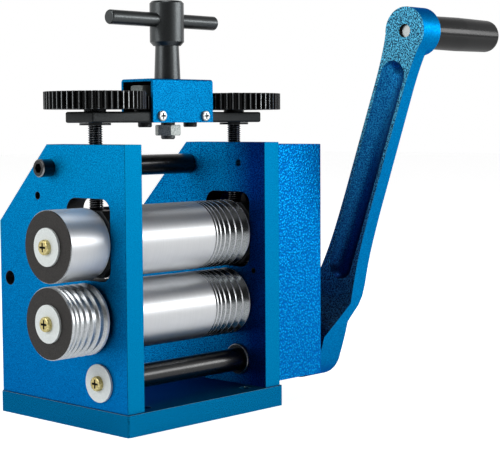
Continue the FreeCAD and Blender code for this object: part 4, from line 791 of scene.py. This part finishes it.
def pan_head(mesh_data, radius, height):
    """Add a pan head with a cross recess, standing on z = 0; gives back its vertices."""
    before = set(mesh_data.verts)
    line = [mesh_data.verts.new((radius * share, 0, height * rise)) for share, rise in PAN_OUTLINE]
    edges = [mesh_data.edges.new(pair) for pair in zip(line, line[1:])]
    bmesh.ops.spin(mesh_data, geom=line + edges, cent=(0, 0, 0), axis=(0, 0, 1), dvec=(0, 0, 0),
                   angle=2 * math.pi, steps=HEAD_STEPS, use_merge=True, use_duplicate=False)
    rims = [edge for edge in mesh_data.edges if edge.is_boundary and edge.verts[0] not in before]
    top = [edge for edge in rims if edge.verts[0].co.z > height / 2]
    bmesh.ops.holes_fill(mesh_data, edges=[edge for edge in rims if edge not in top], sides=0)
    mouth = cross_loop(mesh_data, radius, height, *RECESS_MOUTH)
    floor = cross_loop(mesh_data, radius, height, *RECESS_FLOOR)
    bmesh.ops.triangle_fill(mesh_data, edges=top + mouth, use_beauty=True, use_dissolve=False)
    inside = bmesh.ops.bridge_loops(mesh_data, edges=mouth + floor)["faces"]
    inside += bmesh.ops.contextual_create(mesh_data, geom=floor)["faces"]
    for face in inside:
        face.material_index = 1
    return [vert for vert in mesh_data.verts if vert not in before]


def make_pan_heads(node_name, name, heads, radius, height, material):
    """Heads for one node's screws, each at a point and facing a direction."""
    mesh_data = bmesh.new()
    for point, direction in heads:
        verts = pan_head(mesh_data, radius, height)
        stand = Vector(direction).to_track_quat("Z", "Y").to_matrix().to_4x4()
        bmesh.ops.transform(mesh_data, matrix=Matrix.Translation(point) @ stand, verts=verts)
    piece = finish_piece(mesh_data, name, node_name, (material, recess_dark), 50)
    print(name, "has", len(piece.data.polygons), "faces")


# %% The screws' heads
END_HEAD_RADIUS = 4.1 * MM
END_HEAD_HEIGHT = 2.4 * MM
for node_name in ("upper_end_screw", "lower_end_screw", "shaft_end_screw"):
    low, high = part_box(node_name)
    seat = Vector((low.x + END_HEAD_HEIGHT, (low.y + high.y) / 2, (low.z + high.z) / 2))
    make_pan_heads(node_name, node_name + "_head", [(seat, (-1, 0, 0))], END_HEAD_RADIUS,
                   END_HEAD_HEIGHT, yellow_zinc)

COVER_HEAD_RADIUS = 2.95 * MM
COVER_HEAD_HEIGHT = 1.5 * MM
COVER_SCREW_X = 16.7 * MM
low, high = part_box("bridge_cover_screws")
level = (low.z + high.z) / 2
cover_heads = []
for x in (-COVER_SCREW_X, COVER_SCREW_X):
    cover_heads.append((Vector((x, low.y + COVER_HEAD_HEIGHT, level)), (0, -1, 0)))
    cover_heads.append((Vector((x, high.y - COVER_HEAD_HEIGHT, level)), (0, 1, 0)))
make_pan_heads("bridge_cover_screws", "bridge_cover_screw_heads", cover_heads, COVER_HEAD_RADIUS,
               COVER_HEAD_HEIGHT, zinc)

# %% [markdown]
# ## The rolls
# Heat treatment leaves the end faces dark; only the working face is ground bright, and the
# grooves are ground apart.  The solids have every groove already, so each face only needs
# the steel that belongs to its place.

# %% Roll ends and grooves
ON_END, IN_GROOVE = 1, 2
# How much of its direction an end face and a groove's wall have along the roll.
END_ALONG, WALL_ALONG = 0.95, 0.15
CREST_BAND = 0.3 * MM
GROOVE_STEEL_OF_ROLL = {
    "upper_extension_roll": groove_steel,
    "lower_extension_roll": round_groove_steel,
    "upper_roll": groove_steel,
    "lower_roll": groove_steel,
}
for node_name, in_groove_steel in GROOVE_STEEL_OF_ROLL.items():
    piece = finish_piece(copy_of(node_name), node_name + "_bright", node_name,
                         (roll_steel, roll_end_steel, in_groove_steel), 32)
    low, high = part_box(node_name)
    axis = (low + high) / 2
    crest = (high.z - low.z) / 2
    for face in piece.data.polygons:
        along = abs(face.normal.x)
        if along > END_ALONG:
            face.material_index = ON_END
        elif along > WALL_ALONG or (face.center - axis).yz.length < crest - CREST_BAND:
            face.material_index = IN_GROOVE
    print(node_name, "finished in", len(piece.data.materials), "kinds of steel")

# %% [markdown]
# ## Lift springs
# Four springs press the bearing blocks up, and are squeezed as the roll comes down.  A ring
# of the wire's size is spun with a small climb at each step, which winds it; a modifier
# could do it too.

# %% Springs
WIRE_RADIUS = 0.4 * MM
COIL_RADIUS = 2.3 * MM
COIL_INSET = 2.8 * MM
COIL_TURNS = 5
STEPS_PER_TURN = 20


def coil(mesh_data, x, y, low, high):
    """Wind a wire round a vertical axis between two heights."""
    lie = Matrix.Translation((x + COIL_RADIUS, y, low + WIRE_RADIUS)) @ Matrix.Rotation(
        math.pi / 2, 4, "X")
    ring = bmesh.ops.create_circle(mesh_data, segments=8, radius=WIRE_RADIUS, matrix=lie)["verts"]
    edges = [edge for edge in mesh_data.edges if edge.verts[0] in ring]
    steps = COIL_TURNS * STEPS_PER_TURN
    climb = (high - low - 2 * WIRE_RADIUS) / steps
    bmesh.ops.spin(mesh_data, geom=ring + edges, cent=(x, y, low), axis=(0, 0, 1),
                   dvec=(0, 0, climb), angle=2 * math.pi * COIL_TURNS, steps=steps,
                   use_merge=False, use_duplicate=False)


for node_name in ("left_lift_springs", "right_lift_springs"):
    low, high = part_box(node_name)
    springs = bmesh.new()
    for y in (low.y + COIL_INSET, high.y - COIL_INSET):
        coil(springs, (low.x + high.x) / 2, y, low.z, high.z)
    bmesh.ops.holes_fill(springs, edges=springs.edges, sides=0)
    piece = finish_piece(springs, node_name + "_wound", node_name, (spring_wire,), 80)
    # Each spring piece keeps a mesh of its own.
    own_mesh(piece)
    print(node_name, "wound with", COIL_TURNS, "turns each")

# %% [markdown]
# ## Floor and room
# Steel and enamel show what is around them, so the room is part of the look.  A pale sweep
# as in a catalogue needs a white that doesn't light the mill: light paths tell the rays that
# see the background itself from those that carry light, and only the first get the white.

# %% White without light


def ray_kinds(tree, camera, glossy):
    """A value for the rays that see the background itself, and 0 for its light on the mill."""
    path = add_node(tree, "ShaderNodeLightPath")
    seen = add_node(tree, "ShaderNodeMath", {0: path.outputs["Is Camera Ray"],
                                             1: path.outputs["Is Transmission Ray"]},
                    operation="MAXIMUM")
    direct = add_node(tree, "ShaderNodeMath", {0: seen.outputs["Value"], 1: camera},
                      operation="MULTIPLY")
    mirrored = add_node(tree, "ShaderNodeMath", {0: path.outputs["Is Glossy Ray"], 1: glossy,
                                                 2: direct.outputs["Value"]},
                        operation="MULTIPLY_ADD")
    return mirrored.outputs["Value"]


# The floor looks white where the lamps fade out, and still takes the mill's shadow.
FLOOR_HALF_SIZE = 6.0
FLOOR_BELOW = 0.2 * MM
# How much of white the floor adds for the eye, and for a mirror in the mill.
WHITE_SEEN, WHITE_MIRRORED = 0.85, 0.50
floor_data = bmesh.new()
bmesh.ops.create_grid(floor_data, x_segments=1, y_segments=1, size=FLOOR_HALF_SIZE)
floor_mesh = bpy.data.meshes.new("floor")
floor_data.to_mesh(floor_mesh)
floor_data.free()
floor = bpy.data.objects.new("floor", floor_mesh)
floor.location.z = -FLOOR_BELOW
bpy.context.scene.collection.objects.link(floor)
floor_material = surface("Pale studio floor", "f0f0f0", "f4f4f4", 0.0, (0.95, 0.9), 20.0, 0.01)
floor_mesh.materials.append(floor_material)
floor_tree = floor_material.node_tree
floor_shader = floor_tree.nodes["Principled BSDF"]
floor_shader.inputs["Emission Color"].default_value = linear("ffffff")
floor_tree.links.new(ray_kinds(floor_tree, WHITE_SEEN, WHITE_MIRRORED),
                     floor_shader.inputs["Emission Strength"])
print("floor laid")

# %% The room
# Seen in steel, the room is white at eye level, dims towards the ceiling and is dark behind
# the camera; that draws the dark bands.  Seen directly it is white.
BEHIND_CAMERA = (-0.72, -0.69, 0.0)
ROOM_LIGHT = 0.30
world = bpy.data.worlds.new("studio")
bpy.context.scene.world = world
world.use_nodes = True
tree = world.node_tree
tree.nodes.clear()
direction = add_node(tree, "ShaderNodeTexCoord").outputs["Generated"]
height = add_node(tree, "ShaderNodeSeparateXYZ", {"Vector": direction})
behind = add_node(tree, "ShaderNodeVectorMath", {0: direction, 1: BEHIND_CAMERA},
                  operation="DOT_PRODUCT")
ceiling = add_node(tree, "ShaderNodeValToRGB", {"Fac": height.outputs["Z"]},
                   stops=((0.42, "ffffff"), (0.80, "464646")))
back = add_node(tree, "ShaderNodeValToRGB", {"Fac": behind.outputs["Value"]},
                stops=((0.60, "ffffff"), (0.85, "303030")))
room = add_node(tree, "ShaderNodeMix",
                {MIX_SHARE: 1.0, MIX_FIRST: ceiling.outputs["Color"],
                 MIX_SECOND: back.outputs["Color"]}, data_type="RGBA", blend_type="MULTIPLY")
shown = add_node(tree, "ShaderNodeMix",
                 {MIX_SHARE: ray_kinds(tree, 1.0, 0.0), MIX_FIRST: room.outputs[MIXED],
                  MIX_SECOND: linear("ffffff")}, data_type="RGBA")
strength = add_node(tree, "ShaderNodeMapRange",
                    {"Value": ray_kinds(tree, 1.0, 1.0), "To Min": ROOM_LIGHT, "To Max": 1.0})
sky = add_node(tree, "ShaderNodeBackground", {"Color": shown.outputs[MIXED],
                                              "Strength": strength.outputs["Result"]})
add_node(tree, "ShaderNodeOutputWorld", {"Surface": sky.outputs["Background"]})
print("room lit with", len(tree.nodes), "nodes")

# %% [markdown]
# ## Lamps
# On a polished roll a lamp is seen, not just felt: its place sets where the bright band
# lies, and its size how wide it is.  So the lamps are soft boxes, set by their bands.

# %% Soft boxes
# Each lamp: its name, place, width and height, and its power in watts.
LAMPS = (
    ("front", (1.2, -1.45, 0.52), (1.4, 0.5), 16),
    ("side", (-1.5, 0.45, 0.85), (0.8, 0.8), 14),
    ("top", (-0.2, -0.1, 1.5), (0.5, 0.5), 5),
)
LAMP_AIM = Vector((0, 0, 0.1))
for name, place, (width, height), watts in LAMPS:
    lamp = bpy.data.lights.new(name, "AREA")
    lamp.shape = "RECTANGLE"
    lamp.size = width
    lamp.size_y = height
    lamp.energy = watts
    holder = bpy.data.objects.new(name, lamp)
    holder.location = place
    holder.rotation_euler = (LAMP_AIM - Vector(place)).to_track_quat("-Z", "Y").to_euler()
    bpy.context.scene.collection.objects.link(holder)
print(len(LAMPS), "lamps")

# %% [markdown]
# ## Camera
# A long lens from the left and slightly above keeps upright edges nearly parallel, and shows
# the rolls' ends and their length at once.

# %% Camera
YAW = math.radians(46.37)
PITCH = math.radians(-4.5)
ROLL = math.radians(-0.36)
LENS_MM = 101.973
EYE = (-0.549917, -0.611548, 0.165177)
forward = Vector((math.cos(PITCH) * math.sin(YAW), math.cos(PITCH) * math.cos(YAW), math.sin(PITCH)))
level_right = forward.cross(Vector((0, 0, 1))).normalized()
level_up = level_right.cross(forward)
right = math.cos(ROLL) * level_right + math.sin(ROLL) * level_up
up = math.cos(ROLL) * level_up - math.sin(ROLL) * level_right
camera_data = bpy.data.cameras.new("camera")
camera_data.sensor_width = 36
camera_data.lens = LENS_MM
camera = bpy.data.objects.new("camera", camera_data)
camera.matrix_world = (Matrix.Translation(EYE)
                       @ Matrix((right, up, -forward)).transposed().to_4x4())
bpy.context.scene.collection.objects.link(camera)
bpy.context.scene.camera = camera

# Shown this way, a colour renders about as it is written.
bpy.context.scene.view_settings.view_transform = "Standard"
print("camera", round(Vector(EYE).length, 2), "m from the middle of the base")

# %% The end
print("the scene is built")
